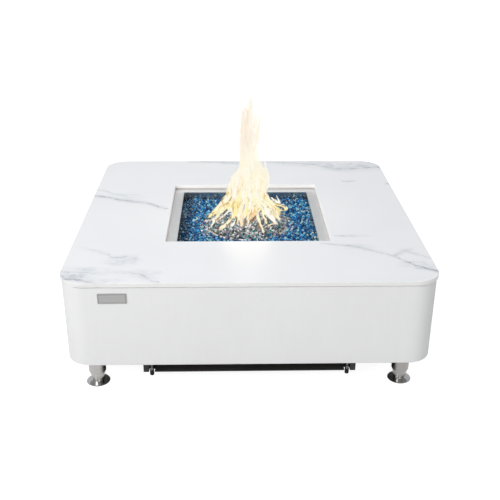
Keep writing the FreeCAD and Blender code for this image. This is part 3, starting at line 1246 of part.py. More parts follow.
# ---------------------------------------------------------------- black underframe
def vent_slot(x, y):
    low_z = BASE_PLATE_BOTTOM - CUT_OVERLAP
    high_z = SHELL_BOTTOM + CUT_OVERLAP
    radius = VENT_WIDTH / 2
    reach = VENT_LENGTH / 2 - radius
    middle = block(x - reach, x + reach, y - radius, y + radius, low_z, high_z)
    ends = [upright_rod(radius, x - reach, y, low_z, high_z), upright_rod(radius, x + reach, y, low_z, high_z)]
    return joined([middle] + ends)


def base_plate():
    """Slotted plate under the shell that carries the rails."""
    plate = block(-UNDERFRAME_HALF_X, UNDERFRAME_HALF_X, -UNDERFRAME_HALF_Y, UNDERFRAME_HALF_Y,
                  BASE_PLATE_BOTTOM, SHELL_BOTTOM)
    tools = []
    for x in spread(VENT_COLUMNS, VENT_COLUMN_SPACING):
        for y in spread(VENT_ROWS, VENT_ROW_SPACING):
            tools.append(vent_slot(x, y))
    for point in corner_points(STUD_X, STUD_Y):
        tools.append(upright_rod(M8_RADIUS + SCREW_CLEARANCE, point.x, point.y,
                                 BASE_PLATE_BOTTOM - CUT_OVERLAP, SHELL_BOTTOM + CUT_OVERLAP))
    return without(plate, tools)


def cross_rail(sign):
    """Channel across the table, open outward, notched round the studs at its ends."""
    face = sign * UNDERFRAME_HALF_Y
    back = sign * (UNDERFRAME_HALF_Y - RAIL_DEPTH)
    outer = block(-RAIL_HALF_LENGTH, RAIL_HALF_LENGTH, face, back, UNDERFRAME_BOTTOM, BASE_PLATE_BOTTOM)
    end = RAIL_HALF_LENGTH + CUT_OVERLAP
    open_side = face + sign * CUT_OVERLAP
    hollow = block(-end, end, open_side, back + sign * RAIL_WALL,
                   UNDERFRAME_BOTTOM + RAIL_WALL, BASE_PLATE_BOTTOM - RAIL_WALL)
    tools = [hollow]
    for side in (-1, 1):
        x = side * STUD_X
        half = RAIL_NOTCH_WIDTH / 2
        tools.append(block(x - half, x + half, open_side, face - sign * RAIL_NOTCH_DEPTH,
                           UNDERFRAME_BOTTOM - CUT_OVERLAP, UNDERFRAME_BOTTOM + RAIL_WALL + CUT_OVERLAP))
        tools.append(upright_rod(M8_RADIUS + SCREW_CLEARANCE, x, sign * STUD_Y,
                                 BASE_PLATE_BOTTOM - RAIL_WALL - CUT_OVERLAP, BASE_PLATE_BOTTOM + CUT_OVERLAP))
    return without(outer, tools)


def side_rail(sign):
    """Folded trough along the table, closed at its ends and covered by the base plate."""
    outer_x = sign * UNDERFRAME_HALF_X
    inner_x = sign * (UNDERFRAME_HALF_X - SIDE_RAIL_WIDTH)
    outer = block(outer_x, inner_x, -UNDERFRAME_HALF_Y, UNDERFRAME_HALF_Y, UNDERFRAME_BOTTOM, BASE_PLATE_BOTTOM)
    wall = SIDE_RAIL_WALL
    hollow = block(outer_x - sign * wall, inner_x + sign * wall, -UNDERFRAME_HALF_Y + wall, UNDERFRAME_HALF_Y - wall,
                   UNDERFRAME_BOTTOM + wall, BASE_PLATE_BOTTOM + CUT_OVERLAP)
    return outer.cut(hollow)


def hanging_studs():
    """Threaded rods in the shell's inserts, which clamp the plate and the cross rails."""
    return [upright_rod(M8_RADIUS, point.x, point.y, CAP_BOTTOM + CAP_FLOOR, SHELL_BOTTOM + INSERT_LENGTH - CUT_OVERLAP)
            for point in corner_points(STUD_X, STUD_Y)]


def stud_nuts():
    nuts = []
    clamp = BASE_PLATE_BOTTOM - RAIL_WALL
    for point in corner_points(STUD_X, STUD_Y):
        nuts.append(nut(M8_RADIUS, Vector(point.x, point.y, clamp), -Z_AXIS))
        nuts.append(nut(M8_RADIUS, Vector(point.x, point.y, CAP_TOP + STUD_NUT_RISE), Z_AXIS))
    return nuts


def stud_caps():
    """Rubber caps over the lower ends of the studs."""
    caps = []
    for point in corner_points(STUD_X, STUD_Y):
        cap = upright_rod(CAP_RADIUS, point.x, point.y, CAP_BOTTOM, CAP_TOP)
        cap = cap.makeChamfer(CAP_CHAMFER, level_edges(cap, CAP_BOTTOM))
        caps.append(cap.cut(upright_rod(M8_RADIUS + RUNNING_CLEARANCE, point.x, point.y,
                                        CAP_BOTTOM + CAP_FLOOR, CAP_TOP + CUT_OVERLAP)))
    return caps


# ---------------------------------------------------------------- bare nameplate
def nameplate():
    """Bare metal plate on the front wall, near its left corner."""
    plate = rounded_block(NAMEPLATE_WIDTH / 2, NAMEPLATE_HEIGHT / 2, NAMEPLATE_CORNER_RADIUS, 0, NAMEPLATE_THICKNESS)
    plate.rotate(Vector(0, 0, 0), X_AXIS, 90)
    centre_x = -TABLE_HALF + NAMEPLATE_EDGE + NAMEPLATE_WIDTH / 2
    centre_z = TABLE_HEIGHT - NAMEPLATE_DROP - NAMEPLATE_HEIGHT / 2
    plate.translate(Vector(centre_x, -SHELL_HALF, centre_z))
    return plate


# ---------------------------------------------------------------- whole table
def all_nodes():
    nodes = {
        "tabletop_slab": tabletop_slab(),
        "slab_pads": slab_pads(),
        "beam_pads": beam_pads(),
        "opening_gasket": opening_gasket(),
        "body_shell": body_shell(),
        "shell_inserts": shell_inserts(),
        "support_frame": support_frame(),
        "support_frame_screws": support_frame_screws(),
        "top_frame": top_frame(),
        "top_frame_bolts": top_frame_bolts(),
        "leg_screws": leg_screws(),
        "leg_plugs": leg_plugs(),
        "burner_pan": burner_pan(),
        "pan_screws": pan_screws(),
        "ring_burner": ring_burner(),
        "burner_nipple": burner_nipple(),
        "pan_locknuts": pan_locknuts(),
        "air_mixer": air_mixer(),
        "orifice_elbow": orifice_elbow(),
        "burner_feed_pipe": burner_feed_pipe(),
        "igniter_bracket": igniter_bracket(),
        "spark_electrode": spark_electrode(),
        "thermocouple": thermocouple(),
        "lead_grommet": lead_grommet(),
        "ignition_lead": ignition_lead(),
        "thermocouple_lead": thermocouple_lead(),
        "fire_glass": fire_glass(),
        "control_box": control_box(),
        "control_box_screws": control_box_screws(),
        "gas_valve": gas_valve(),
        "valve_stem": valve_stem(),
        "control_knob": control_knob(),
        "igniter_body": igniter_body(),
        "igniter_button": igniter_button(),
        "panel_nuts": panel_nuts(),
        "inlet_bracket": inlet_bracket(),
        "inlet_fitting": inlet_fitting(),
        "inlet_nut": inlet_nut(),
        "inlet_pipe": inlet_pipe(),
        "base_plate": base_plate(),
        "front_rail": cross_rail(-1),
        "rear_rail": cross_rail(1),
        "side_rail_left": side_rail(-1),
        "side_rail_right": side_rail(1),
        "hanging_studs": hanging_studs(),
        "stud_nuts": stud_nuts(),
        "stud_caps": stud_caps(),
        "nameplate": nameplate(),
    }
    for corner, (sign_x, sign_y) in CORNERS.items():
        nodes["leg_" + corner] = leg(sign_x, sign_y)
        nodes["levelling_foot_" + corner] = levelling_foot(sign_x, sign_y)
        nodes["foot_pad_" + corner] = foot_pad(sign_x, sign_y)
    return nodes


def main():
    os.makedirs("parts", exist_ok=True)
    for name, shape in all_nodes().items():
        solids = shape if isinstance(shape, list) else shape.Solids
        node = solids[0] if len(solids) == 1 else Part.makeCompound(solids)
        node.exportStep(os.path.join("parts", name + ".step"))


main()
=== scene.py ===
import json
import math
from functools import partialmethod

import bmesh
import bpy
import numpy as np
from mathutils import Matrix, Vector
from mathutils.bvhtree import BVHTree


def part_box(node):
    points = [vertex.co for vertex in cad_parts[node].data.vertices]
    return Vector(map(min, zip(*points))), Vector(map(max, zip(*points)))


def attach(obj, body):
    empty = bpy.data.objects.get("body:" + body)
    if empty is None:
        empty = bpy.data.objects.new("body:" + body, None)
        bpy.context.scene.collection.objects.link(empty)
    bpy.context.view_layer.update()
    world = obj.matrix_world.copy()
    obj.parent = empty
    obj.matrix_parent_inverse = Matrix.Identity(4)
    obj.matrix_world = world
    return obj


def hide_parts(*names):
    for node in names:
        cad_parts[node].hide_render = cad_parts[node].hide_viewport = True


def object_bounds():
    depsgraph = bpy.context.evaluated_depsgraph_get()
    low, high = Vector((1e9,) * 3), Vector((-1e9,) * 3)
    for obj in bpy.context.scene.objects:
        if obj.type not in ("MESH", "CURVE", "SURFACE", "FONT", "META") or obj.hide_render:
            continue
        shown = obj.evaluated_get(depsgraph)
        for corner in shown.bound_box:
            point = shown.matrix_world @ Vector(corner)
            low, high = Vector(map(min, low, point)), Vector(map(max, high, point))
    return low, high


# Square gas fire table. Metres, +Z up, X to the right and Y to the rear of the table.

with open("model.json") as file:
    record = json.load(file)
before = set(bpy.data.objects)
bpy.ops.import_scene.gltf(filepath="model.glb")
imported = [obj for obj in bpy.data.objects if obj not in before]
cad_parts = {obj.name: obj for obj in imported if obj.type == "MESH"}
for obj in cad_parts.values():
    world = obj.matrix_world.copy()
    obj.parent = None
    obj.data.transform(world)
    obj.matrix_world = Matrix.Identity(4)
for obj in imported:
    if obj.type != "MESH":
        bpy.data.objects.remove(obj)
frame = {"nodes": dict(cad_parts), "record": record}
cad_low, cad_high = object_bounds()
nodes = frame["nodes"]
MM = 0.001
UP, RIGHT, REARWARD = Vector((0, 0, 1)), Vector((1, 0, 0)), Vector((0, 1, 0))
SHARP_ANGLE = math.radians(32)
random = np.random.default_rng(24)


# ---- shader helpers
def with_alpha(value):
    return (*value, 1.0) if isinstance(value, tuple) else value


class Nodes:
    """Node tree of a material or a world. An input is a value, or a socket to link from."""

    def __init__(self, owner):
        owner.use_nodes = True
        self.tree = owner.node_tree
        self.tree.nodes.clear()

    def put(self, kind, inputs=None, **settings):
        node = self.tree.nodes.new(f"ShaderNode{kind}")
        for name, value in settings.items():
            setattr(node, name, value)
        for name, value in (inputs or {}).items():
            if isinstance(value, bpy.types.NodeSocket):
                self.tree.links.new(value, node.inputs[name])
            else:
                node.inputs[name].default_value = value
        return node

    def compute(self, operation, *values):
        return self.put("Math", dict(enumerate(values)), operation=operation).outputs[0]

    add = partialmethod(compute, "ADD")
    subtract = partialmethod(compute, "SUBTRACT")
    multiply = partialmethod(compute, "MULTIPLY")
    multiply_add = partialmethod(compute, "MULTIPLY_ADD")
    absolute = partialmethod(compute, "ABSOLUTE")
    least = partialmethod(compute, "MINIMUM")
    most = partialmethod(compute, "MAXIMUM")

    def object_place(self):
        self.where = self.put("TexCoord").outputs["Object"]

    def axes(self):
        return self.put("SeparateXYZ", {0: self.where}).outputs

    def noise(self, scale, detail, roughness, distortion=0.0, stretch=None):
        where = self.where
        if stretch:
            where = self.put("Mapping", {"Vector": where, "Scale": stretch}).outputs[0]
        inputs = {"Vector": where, "Scale": scale, "Detail": detail, "Roughness": roughness}
        return self.put("TexNoise", {**inputs, "Distortion": distortion}).outputs[0]

    def ramp(self, factor, *stops):
        """Colour ramp. Stops are (place, grey) or (place, (r, g, b))."""
        node = self.put("ValToRGB", {0: factor})
        elements = node.color_ramp.elements
        while len(elements) < len(stops):
            elements.new(0.5)
        for element, (place, colour) in zip(elements, stops):
            element.position = place
            element.color = with_alpha(colour if isinstance(colour, tuple) else (colour,) * 3)
        return node.outputs[0]

    def curve(self, factor, points):
        """Smooth curve through (place, value) points."""
        node = self.put("FloatCurve", {"Value": factor})
        targets = node.mapping.curves[0].points
        while len(targets) < len(points):
            targets.new(0.5, 0.5)
        for target, point in zip(targets, points):
            target.location = point
            target.handle_type = "AUTO_CLAMPED"
        node.mapping.extend = "HORIZONTAL"
        node.mapping.update()
        return node.outputs[0]

    def spread(self, value, low, high, to_low=0.0, to_high=1.0, smooth=False):
        """Maps low..high to to_low..to_high, and clamps."""
        kind = "SMOOTHSTEP" if smooth else "LINEAR"
        inputs = {"Value": value, "From Min": low, "From Max": high, "To Min": to_low, "To Max": to_high}
        return self.put("MapRange", inputs, interpolation_type=kind).outputs[0]

    def rough(self, texture, low, high):
        return self.spread(texture, 0.3, 0.7, low, high)

    def mix(self, factor, first, second, blend="MIX"):
        inputs = {0: factor, 6: with_alpha(first), 7: with_alpha(second)}
        return self.put("Mix", inputs, data_type="RGBA", blend_type=blend).outputs[2]

    def rays(self, *kinds):
        """1 for the kinds of ray named, else 0."""
        path = self.put("LightPath").outputs
        seen = path[f"Is {kinds[0]} Ray"]
        for kind in kinds[1:]:
            seen = self.most(seen, path[f"Is {kind} Ray"])
        return seen

    def surface(self, shader, kind="Material"):
        self.put(f"Output{kind}", {"Surface": shader.outputs[0]})


class Surface(Nodes):
    """Principled material, placed by object coordinates."""

    def __init__(self, name, **values):
        self.material = bpy.data.materials.new(name)
        super().__init__(self.material)
        inputs = {key.replace("_", " "): value for key, value in values.items()}
        self.shader = self.put("BsdfPrincipled", inputs)
        self.surface(self.shader)
        self.object_place()

    def finish(self, colour, rough, height, strength, distance):
        """Feeds the shader its colour, roughness and relief. Returns the material."""
        relief = {"Height": height, "Strength": strength, "Distance": distance}
        normal = self.put("Bump", relief).outputs[0]
        for name, socket in (("Base Color", colour), ("Roughness", rough), ("Normal", normal)):
            if socket is not None:
                self.tree.links.new(socket, self.shader.inputs[name])
        return self.material


# ---- tabletop: sintered stone with marble veins
TOP_CORNER = 75.0 * MM
VEIN_END = 10.0 * MM
# How far past a quarter of the top's side the opening's edge is still looked for.
OPENING_MARGIN = 0.04
# Each vein: points (x, y) in millimetres from left to right, core width, haze width, strength of each point.
VEINS = [
    (((-548, 148), (-471, 122), (-440, 100), (-390, 86), (-341, 70), (-289, 27), (-258, 12)),
     2.6, 26, (0.8, 0.9, 0.75, 0.7, 0.9, 0.8, 0.15)),
    (((-548, 212), (-500, 190), (-470, 164), (-430, 140), (-394, 116)), 1.8, 20, (0.35, 0.5, 0.4, 0.3, 0.0)),
    (((-548, -452), (-460, -466), (-397, -472), (-322, -474), (-276, -516), (-245, -533)),
     2.0, 44, (0.45, 0.35, 0.3, 0.45, 0.6, 0.3)),
    (((-548, -500), (-480, -512), (-428, -533), (-380, -540)), 3.0, 60, (0.9, 0.8, 0.6, 0.0)),
    (((-515, -290), (-470, -312), (-435, -329), (-412, -345), (-400, -362), (-369, -364), (-352, -360)),
     1.6, 22, (0.0, 0.3, 0.45, 0.55, 0.5, 0.5, 0.0)),
    (((-412, -424), (-372, -402), (-332, -380), (-318, -372)), 1.8, 60, (0.0, 0.3, 0.35, 0.0)),
    (((205, -268), (268, -283), (304, -294), (351, -316), (394, -343), (425, -367), (448, -399),
      (495, -446), (548, -484)), 2.4, 22, (0.1, 0.5, 0.6, 0.55, 0.35, 0.45, 0.9, 0.95, 0.95)),
    (((420, -368), (436, -357), (458, -338), (481, -325), (502, -312)), 2.2, 30, (0.2, 0.5, 0.5, 0.35, 0.0)),
    (((462, -332), (483, -346), (507, -368), (548, -392)), 1.8, 26, (0.4, 0.45, 0.4, 0.4)),
    (((255, -216), (285, -218), (312, -222), (345, -219), (400, -222)), 2.4, 16, (0.0, 0.35, 0.45, 0.2, 0.0)),
    (((60, 526), (160, 512), (261, 490), (317, 457), (399, 432), (460, 440), (548, 452)),
     3.0, 60, (0.1, 0.5, 0.6, 0.6, 0.7, 0.7, 0.6)),
    (((350, 292), (372, 291), (395, 291), (420, 290)), 3.0, 12, (0.0, 0.5, 0.4, 0.0)),
    (((505, 252), (520, 257), (548, 259)), 2.4, 14, (0.1, 0.5, 0.6)),
    (((-230, 528), (-150, 522), (-60, 512), (10, 505), (60, 500)), 2.6, 40, (0.3, 0.6, 0.6, 0.5, 0.1)),
]
# Marbled clouds without a vein: centre (x, y) and half size in millimetres, strength.
CLOUDS = [
    ((-508, -484), (72, 36), 0.95), ((-450, -448), (64, 26), 0.45), ((-372, -392), (76, 46), 0.42),
    ((-300, -470), (80, 26), 0.32), ((-400, -520), (70, 20), 0.4), ((430, 478), (170, 50), 0.80),
    ((300, 505), (90, 26), 0.5), ((480, -430), (70, 44), 0.50), ((-420, 132), (90, 44), 0.30),
    ((-90, 520), (120, 20), 0.5), ((330, -300), (70, 26), 0.3),
]


def vein(tree, x, y, points, strengths, core_width, haze_width):
    """Masks of one vein's thin core and of the haze beside it."""
    across, level = np.array(points).T * MM
    first, last = across[0], across[-1]
    reach = level.max() - level.min()
    along = tree.spread(x, first, last)
    places = (across - first) / (last - first)
    line = tree.curve(along, list(zip(places, (level - level.min()) / reach)))
    middle = tree.multiply_add(line, reach, level.min())
    distance = tree.absolute(tree.subtract(y, middle))
    strength = tree.curve(along, list(zip(places, strengths)))
    to_end = tree.least(tree.subtract(x, first), tree.subtract(last, x))
    strength = tree.multiply(strength, tree.spread(to_end, 0.0, VEIN_END))
    core = tree.spread(distance, 0.0, 2.1 * core_width * MM, 1.0, 0.0, smooth=True)
    haze = tree.spread(distance, 0.0, haze_width * MM, 1.0, 0.0, smooth=True)
    return tree.multiply(core, strength), tree.multiply(haze, strength)


def depth_from_outside(tree, x, y, half, corner):
    """Distance of a point inwards from the outer face of an upright rounded square."""
    past = [tree.subtract(tree.absolute(axis), half - corner) for axis in (x, y)]
    squares = [tree.compute("POWER", tree.most(axis, 0.0), 2.0) for axis in past]
    round_part = tree.compute("SQRT", tree.add(*squares))
    flat_part = tree.least(tree.most(*past), 0.0)
    return tree.subtract(corner, tree.add(round_part, flat_part))


def opening_half():
    """Half the width of the tabletop's square opening, from the straight sides of its lower edge."""
    low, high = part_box("tabletop_slab")
    lower = [vertex.co for vertex in nodes["tabletop_slab"].data.vertices if vertex.co.z < low.z + MM]
    reaches = [max(abs(place.x), abs(place.y)) for place in lower]
    return max(reach for reach in reaches if reach < high.x / 2 + OPENING_MARGIN)


def stone_material():
    tree = Surface("sintered_stone", Specular_IOR_Level=0.4)
    fine = tree.noise(62.0, 6.0, 0.68)
    drift = tree.noise(9.0, 3.0, 0.55)
    wobble = tree.add(tree.multiply_add(fine, 0.020, -0.010), tree.multiply_add(drift, 0.03, -0.015))
    x, straight_y, _ = tree.axes()
    y = tree.add(straight_y, wobble)
    cores, hazes = None, None
    for points, core_width, haze_width, strengths in VEINS:
        core, haze = vein(tree, x, y, points, strengths, core_width, haze_width)
        cores = core if cores is None else tree.most(cores, core)
        hazes = haze if hazes is None else tree.most(hazes, haze)
    patches = tree.spread(tree.noise(14.0, 5.0, 0.62, stretch=(1.0, 1.6, 1.0)), 0.38, 0.68)
    hazes = tree.multiply(hazes, tree.multiply_add(patches, 0.85, 0.25))
    cores = tree.multiply(cores, tree.spread(tree.noise(46.0, 4.0, 0.65), 0.38, 0.60, 0.12, 1.15))
    mottle = tree.ramp(tree.noise(3.2, 5.0, 0.6), (0.3, (0.825, 0.838, 0.858)), (0.7, (0.858, 0.866, 0.882)))
    colour = tree.mix(tree.multiply(hazes, 0.72), mottle, (0.46, 0.49, 0.54))
    marbling = tree.spread(tree.noise(34.0, 6.0, 0.68, 0.6, (1.0, 1.7, 1.0)), 0.42, 0.66)
    for (centre_x, centre_y), (half_x, half_y), strength in CLOUDS:
        off_x = tree.multiply_add(x, 1 / (half_x * MM), -centre_x / half_x)
        off_y = tree.multiply_add(y, 1 / (half_y * MM), -centre_y / half_y)
        reach = tree.add(tree.multiply(off_x, off_x), tree.multiply(off_y, off_y))
        cloud = tree.multiply(tree.spread(reach, 0.1, 1.0, strength, 0.0, smooth=True), marbling)
        colour = tree.mix(cloud, colour, (0.50, 0.53, 0.58))
    colour = tree.mix(tree.multiply(cores, 0.85), colour, (0.20, 0.20, 0.215))
    grain = tree.noise(900.0, 2.0, 0.5)
    from_middle = tree.most(tree.absolute(x), tree.absolute(straight_y))
    to_opening = tree.subtract(from_middle, opening_half())
    cut_face = tree.spread(to_opening, 0.2 * MM, 0.8 * MM, 1.0, 0.0)
    colour = tree.mix(cut_face, colour, (0.97, 0.965, 0.96))
    to_edge = depth_from_outside(tree, x, straight_y, cad_high.x, TOP_CORNER)
    colour = tree.mix(tree.spread(to_edge, 1.0 * MM, 2.2 * MM, 0.75, 0.0), colour, (0.85, 0.84, 0.81))
    rough = tree.rough(tree.noise(7.0, 1.0, 0.4), 0.29, 0.33)
    return tree.finish(colour, rough, grain, 0.05, 0.0004)


# ---- shell: smooth cast concrete
SHELL_CORNER = 71.0 * MM
# Depth from the outer face at which the painted shade on the shell's inside begins, and at which it is
# darkest.
PAINTED_SHADE_FROM, PAINTED_SHADE_TO = 13.0 * MM, 80.0 * MM


def concrete_material():
    tree = Surface("cast_concrete", Specular_IOR_Level=0.35)
    broad = tree.noise(2.6, 5.0, 0.6, 0.5)
    colour = tree.ramp(broad, (0.3, (0.826, 0.822, 0.816)), (0.7, (0.852, 0.849, 0.843)))
    streaks = tree.noise(5.0, 4.0, 0.6, stretch=(9.0, 9.0, 1.5))
    colour = tree.mix(0.03, colour, tree.ramp(streaks, (0.35, 0.62), (0.65, 1.0)), "MULTIPLY")
    _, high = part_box("body_shell")
    x, y, _ = tree.axes()
    depth = depth_from_outside(tree, x, y, high.x, SHELL_CORNER)
    # Painted shade: the concrete darkens from the outer face inwards, standing for the shade inside and under
    # the shell.
    colour = tree.mix(tree.spread(depth, PAINTED_SHADE_FROM, PAINTED_SHADE_TO, 0.0, 0.9), colour, (0.20, 0.195, 0.185))
    cells = tree.put("TexVoronoi", {"Vector": tree.where, "Scale": 95.0, "Randomness": 1.0})
    sparse = tree.spread(tree.noise(31.0, 2.0, 0.5), 0.56, 0.62)
    holes = tree.multiply(tree.spread(cells.outputs["Distance"], 0.10, 0.05), sparse)
    colour = tree.mix(tree.multiply(holes, 0.35), colour, (0.55, 0.54, 0.52))
    grain = tree.noise(420.0, 4.0, 0.65)
    sand = tree.subtract(tree.multiply(grain, 0.3), holes)
    return tree.finish(colour, tree.rough(grain, 0.55, 0.72), sand, 0.18, 0.0006)


# ---- metals
def brushed_metal(name, colour, roughness, grain, scratch=0.12, right=1.0):
    """Metal with fine scratches along the axis that has the small grain scale."""
    tree = Surface(name, Metallic=1.0)
    lines = tree.noise(1.0, 5.0, 0.7, stretch=grain)
    smudges = tree.noise(16.0, 4.0, 0.6)
    shade = tree.ramp(lines, (0.3, tuple(channel * 0.82 for channel in colour)), (0.7, colour))
    # Painted shade: the colour darkens towards the right by the factor given as right.
    if right != 1.0:
        side = tree.spread(tree.axes()[0], -0.1, 0.1)
        shade = tree.mix(side, shade, tree.mix(1.0, shade, (right,) * 3, "MULTIPLY"))
    rough = tree.add(tree.rough(lines, roughness - 0.06, roughness + 0.08),
                     tree.spread(smudges, 0.4, 0.7, -0.03, 0.05))
    return tree.finish(shade, rough, lines, scratch, 0.0003)


def foot_material():
    """Polished disc below a brushed neck, which has painted shade darkening it at the right."""
    tree = Surface("foot_stainless", Metallic=1.0)
    lines = tree.noise(1.0, 5.0, 0.7, stretch=(40.0, 40.0, 900.0))
    x, _, z = tree.axes()
    neck = tree.spread(z, 8.0 * MM, 8.8 * MM)
    brushed = tree.ramp(lines, (0.3, (0.34, 0.325, 0.31)), (0.7, (0.45, 0.43, 0.41)))
    # Painted shade: the neck darkens towards the right.
    brushed = tree.mix(tree.spread(x, -0.1, 0.1, 0.0, 0.22), brushed, (0.0, 0.0, 0.0))
    colour = tree.mix(neck, tree.ramp(lines, (0.3, 0.60), (0.7, 0.72)), brushed)
    rough = tree.multiply_add(neck, 0.2, tree.rough(lines, 0.05, 0.10))
    return tree.finish(colour, rough, lines, 0.06, 0.0003)


def pan_material():
    """Brushed stainless: below the flange, heat tint, soot and painted shade darken it; on the flange,
    painted shade by the left wall.
    """
    tree = Surface("pan_stainless", Metallic=1.0)
    low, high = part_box("burner_pan")
    lines = tree.noise(1.0, 5.0, 0.7, stretch=(8.0, 520.0, 520.0))
    smudges = tree.noise(16.0, 4.0, 0.6)
    x, _, z = tree.axes()
    # Below the flange: heat tint and soot, and painted shade for the recessed walls.
    heat_tint_and_painted_shade = tree.spread(z, high.z - 5.0 * MM, high.z - 3.0 * MM, 1.0, 0.0)
    soot_and_painted_shade = tree.mix(tree.spread(smudges, 0.3, 0.7), (0.58, 0.55, 0.50), (0.72, 0.66, 0.60))
    flange = tree.ramp(lines, (0.3, 0.70), (0.7, 0.84))
    # Painted shade on the flange next to the left wall.
    left_wall_painted_shade = tree.spread(x, low.x + 22 * MM, low.x + 44 * MM, 0.85, 0.0)
    colour = tree.mix(heat_tint_and_painted_shade, tree.mix(left_wall_painted_shade, flange, (0.66, 0.61, 0.60)), soot_and_painted_shade)
    rough = tree.multiply_add(heat_tint_and_painted_shade, -0.14, tree.rough(lines, 0.3, 0.42))
    return tree.finish(colour, rough, lines, 0.12, 0.0003)


def zinc_material():
    tree = Surface("zinc_fastener", Metallic=1.0)
    blotches = tree.noise(120.0, 3.0, 0.6)
    colour = tree.ramp(blotches, (0.35, (0.30, 0.31, 0.33)), (0.65, (0.52, 0.52, 0.50)))
    rough = tree.rough(blotches, 0.26, 0.44)
    return tree.finish(colour, rough, tree.noise(1400.0, 2.0, 0.5), 0.08, 0.0002)


def brass_material():
    tree = Surface("brass_fitting", Metallic=1.0)
    tarnish = tree.noise(90.0, 5.0, 0.6)
    colour = tree.ramp(tarnish, (0.35, (0.42, 0.27, 0.09)), (0.6, (0.74, 0.53, 0.22)))
    inputs = {"Vector": tree.where, "Scale": 900.0, "Distortion": 1.5}
    turning = tree.put("TexWave", inputs, bands_direction="Y").outputs[1]
    return tree.finish(colour, tree.rough(tarnish, 0.42, 0.24), turning, 0.05, 0.0002)


def burner_material():
    """Stainless tube with straw and blue heat tints near the ports."""
    tree = Surface("burner_stainless", Metallic=1.0)
    lines = tree.noise(1.0, 4.0, 0.7, stretch=(30.0, 30.0, 500.0))
    heat = tree.noise(22.0, 3.0, 0.6, 0.4)
    colour = tree.ramp(heat, (0.36, (0.66, 0.65, 0.63)), (0.5, (0.60, 0.50, 0.36)),
                       (0.64, (0.36, 0.35, 0.45)))
    colour = tree.mix(0.45, colour, (0.72, 0.72, 0.72))
    return tree.finish(colour, tree.rough(lines, 0.24, 0.4), lines, 0.1, 0.0002)


def cast_alloy_material():
    tree = Surface("valve_alloy", Metallic=1.0)
    skin = tree.noise(700.0, 4.0, 0.7)
    colour = tree.ramp(tree.noise(40.0, 3.0, 0.5), (0.3, 0.50), (0.7, (0.66, 0.66, 0.67)))
    return tree.finish(colour, tree.rough(skin, 0.42, 0.62), skin, 0.35, 0.0004)


def nameplate_material():
    """Bare brushed plate with a fine engraved border line."""
    tree = Surface("nameplate_metal", Metallic=1.0)
    low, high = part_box("nameplate")
    middle, half = (low + high) / 2, (high - low) / 2
    x, _, z = tree.axes()
    side = tree.subtract(half.x, tree.absolute(tree.subtract(x, middle.x)))
    level = tree.subtract(half.z, tree.absolute(tree.subtract(z, middle.z)))
    from_line = tree.absolute(tree.subtract(tree.least(side, level), 3.0 * MM))
    groove = tree.spread(from_line, 0.35 * MM, 0.75 * MM)
    lines = tree.noise(1.0, 5.0, 0.7, stretch=(14.0, 1.0, 1500.0))
    colour = tree.ramp(lines, (0.3, (0.27, 0.27, 0.265)), (0.7, (0.38, 0.38, 0.375)))
    colour = tree.mix(groove, (0.12, 0.12, 0.13), colour)
    rough = tree.rough(lines, 0.34, 0.5)
    return tree.finish(colour, rough, tree.multiply_add(lines, 0.06, groove), 0.5, 0.0003)


# ---- paints, plastics, rubber, tape, glass
def coated(name, colour, roughness, peel_scale, peel_depth, dust=0.0, specular=0.5):
    """Painted, powder-coated or moulded surface: orange peel or grain, with a little dust."""
    tree = Surface(name, Specular_IOR_Level=specular)
    peel = tree.noise(peel_scale, 2.0, 0.5)
    worn = tree.noise(18.0, 4.0, 0.6)
    shade = tree.ramp(worn, (0.3, tuple(channel * 0.8 for channel in colour)), (0.7, colour))
    if dust:
        shade = tree.mix(tree.multiply(tree.spread(worn, 0.45, 0.75), dust), shade, (0.42, 0.40, 0.37))
    rough = tree.rough(worn, roughness - 0.06, roughness + 0.08)
    return tree.finish(shade, rough, peel, 0.3, peel_depth)


def woven_tape_material():
    tree = Surface("glass_fibre_tape", Roughness=0.85)
    warp, weft = (tree.put("TexWave", {"Vector": tree.where, "Scale": 260.0},
                           bands_direction=way).outputs[1] for way in "XY")
    weave = tree.multiply(warp, weft)
    colour = tree.ramp(weave, (0.0, (0.46, 0.45, 0.42)), (0.7, (0.78, 0.77, 0.73)))
    return tree.finish(colour, None, weave, 0.5, 0.0005)


def glass_material():
    """Crushed glass. Each chip carries its own colour."""
    tree = Surface("blue_glass", IOR=1.5, Transmission_Weight=0.25)
    chip = tree.put("VertexColor", layer_name="chip_colour").outputs[0]
    flecks = tree.noise(260.0, 3.0, 0.6)
    colour = tree.mix(0.35, chip, tree.ramp(flecks, (0.3, 0.35), (0.7, 1.0)), "MULTIPLY")
    return tree.finish(colour, tree.spread(flecks, 0.35, 0.65, 0.03, 0.14), flecks, 0.12, 0.0005)


# Colour, roughness, scale and depth of the grain, dust, specular level.
COATINGS = {
    "silicone_pad": ((0.52, 0.52, 0.50), 0.55, 300.0, 0.0003),
    "painted_frame": ((0.045, 0.045, 0.05), 0.5, 420.0, 0.0004, 0.12),
    "nylon_plug": ((0.03, 0.03, 0.03), 0.5, 500.0, 0.0002),
    "white_ceramic": ((0.80, 0.78, 0.73), 0.2, 500.0, 0.0001),
    "black_rubber": ((0.016, 0.016, 0.017), 0.72, 620.0, 0.0004, 0.04, 0.2),
    "silicone_lead": ((0.55, 0.07, 0.045), 0.45, 400.0, 0.0002),
    "black_knob": ((0.022, 0.022, 0.024), 0.42, 900.0, 0.0002),
    "igniter_button": ((0.05, 0.05, 0.055), 0.3, 900.0, 0.0001),
    "black_powder_coat": ((0.066, 0.063, 0.061), 0.55, 480.0, 0.0003, 0.006, 0.08),
}
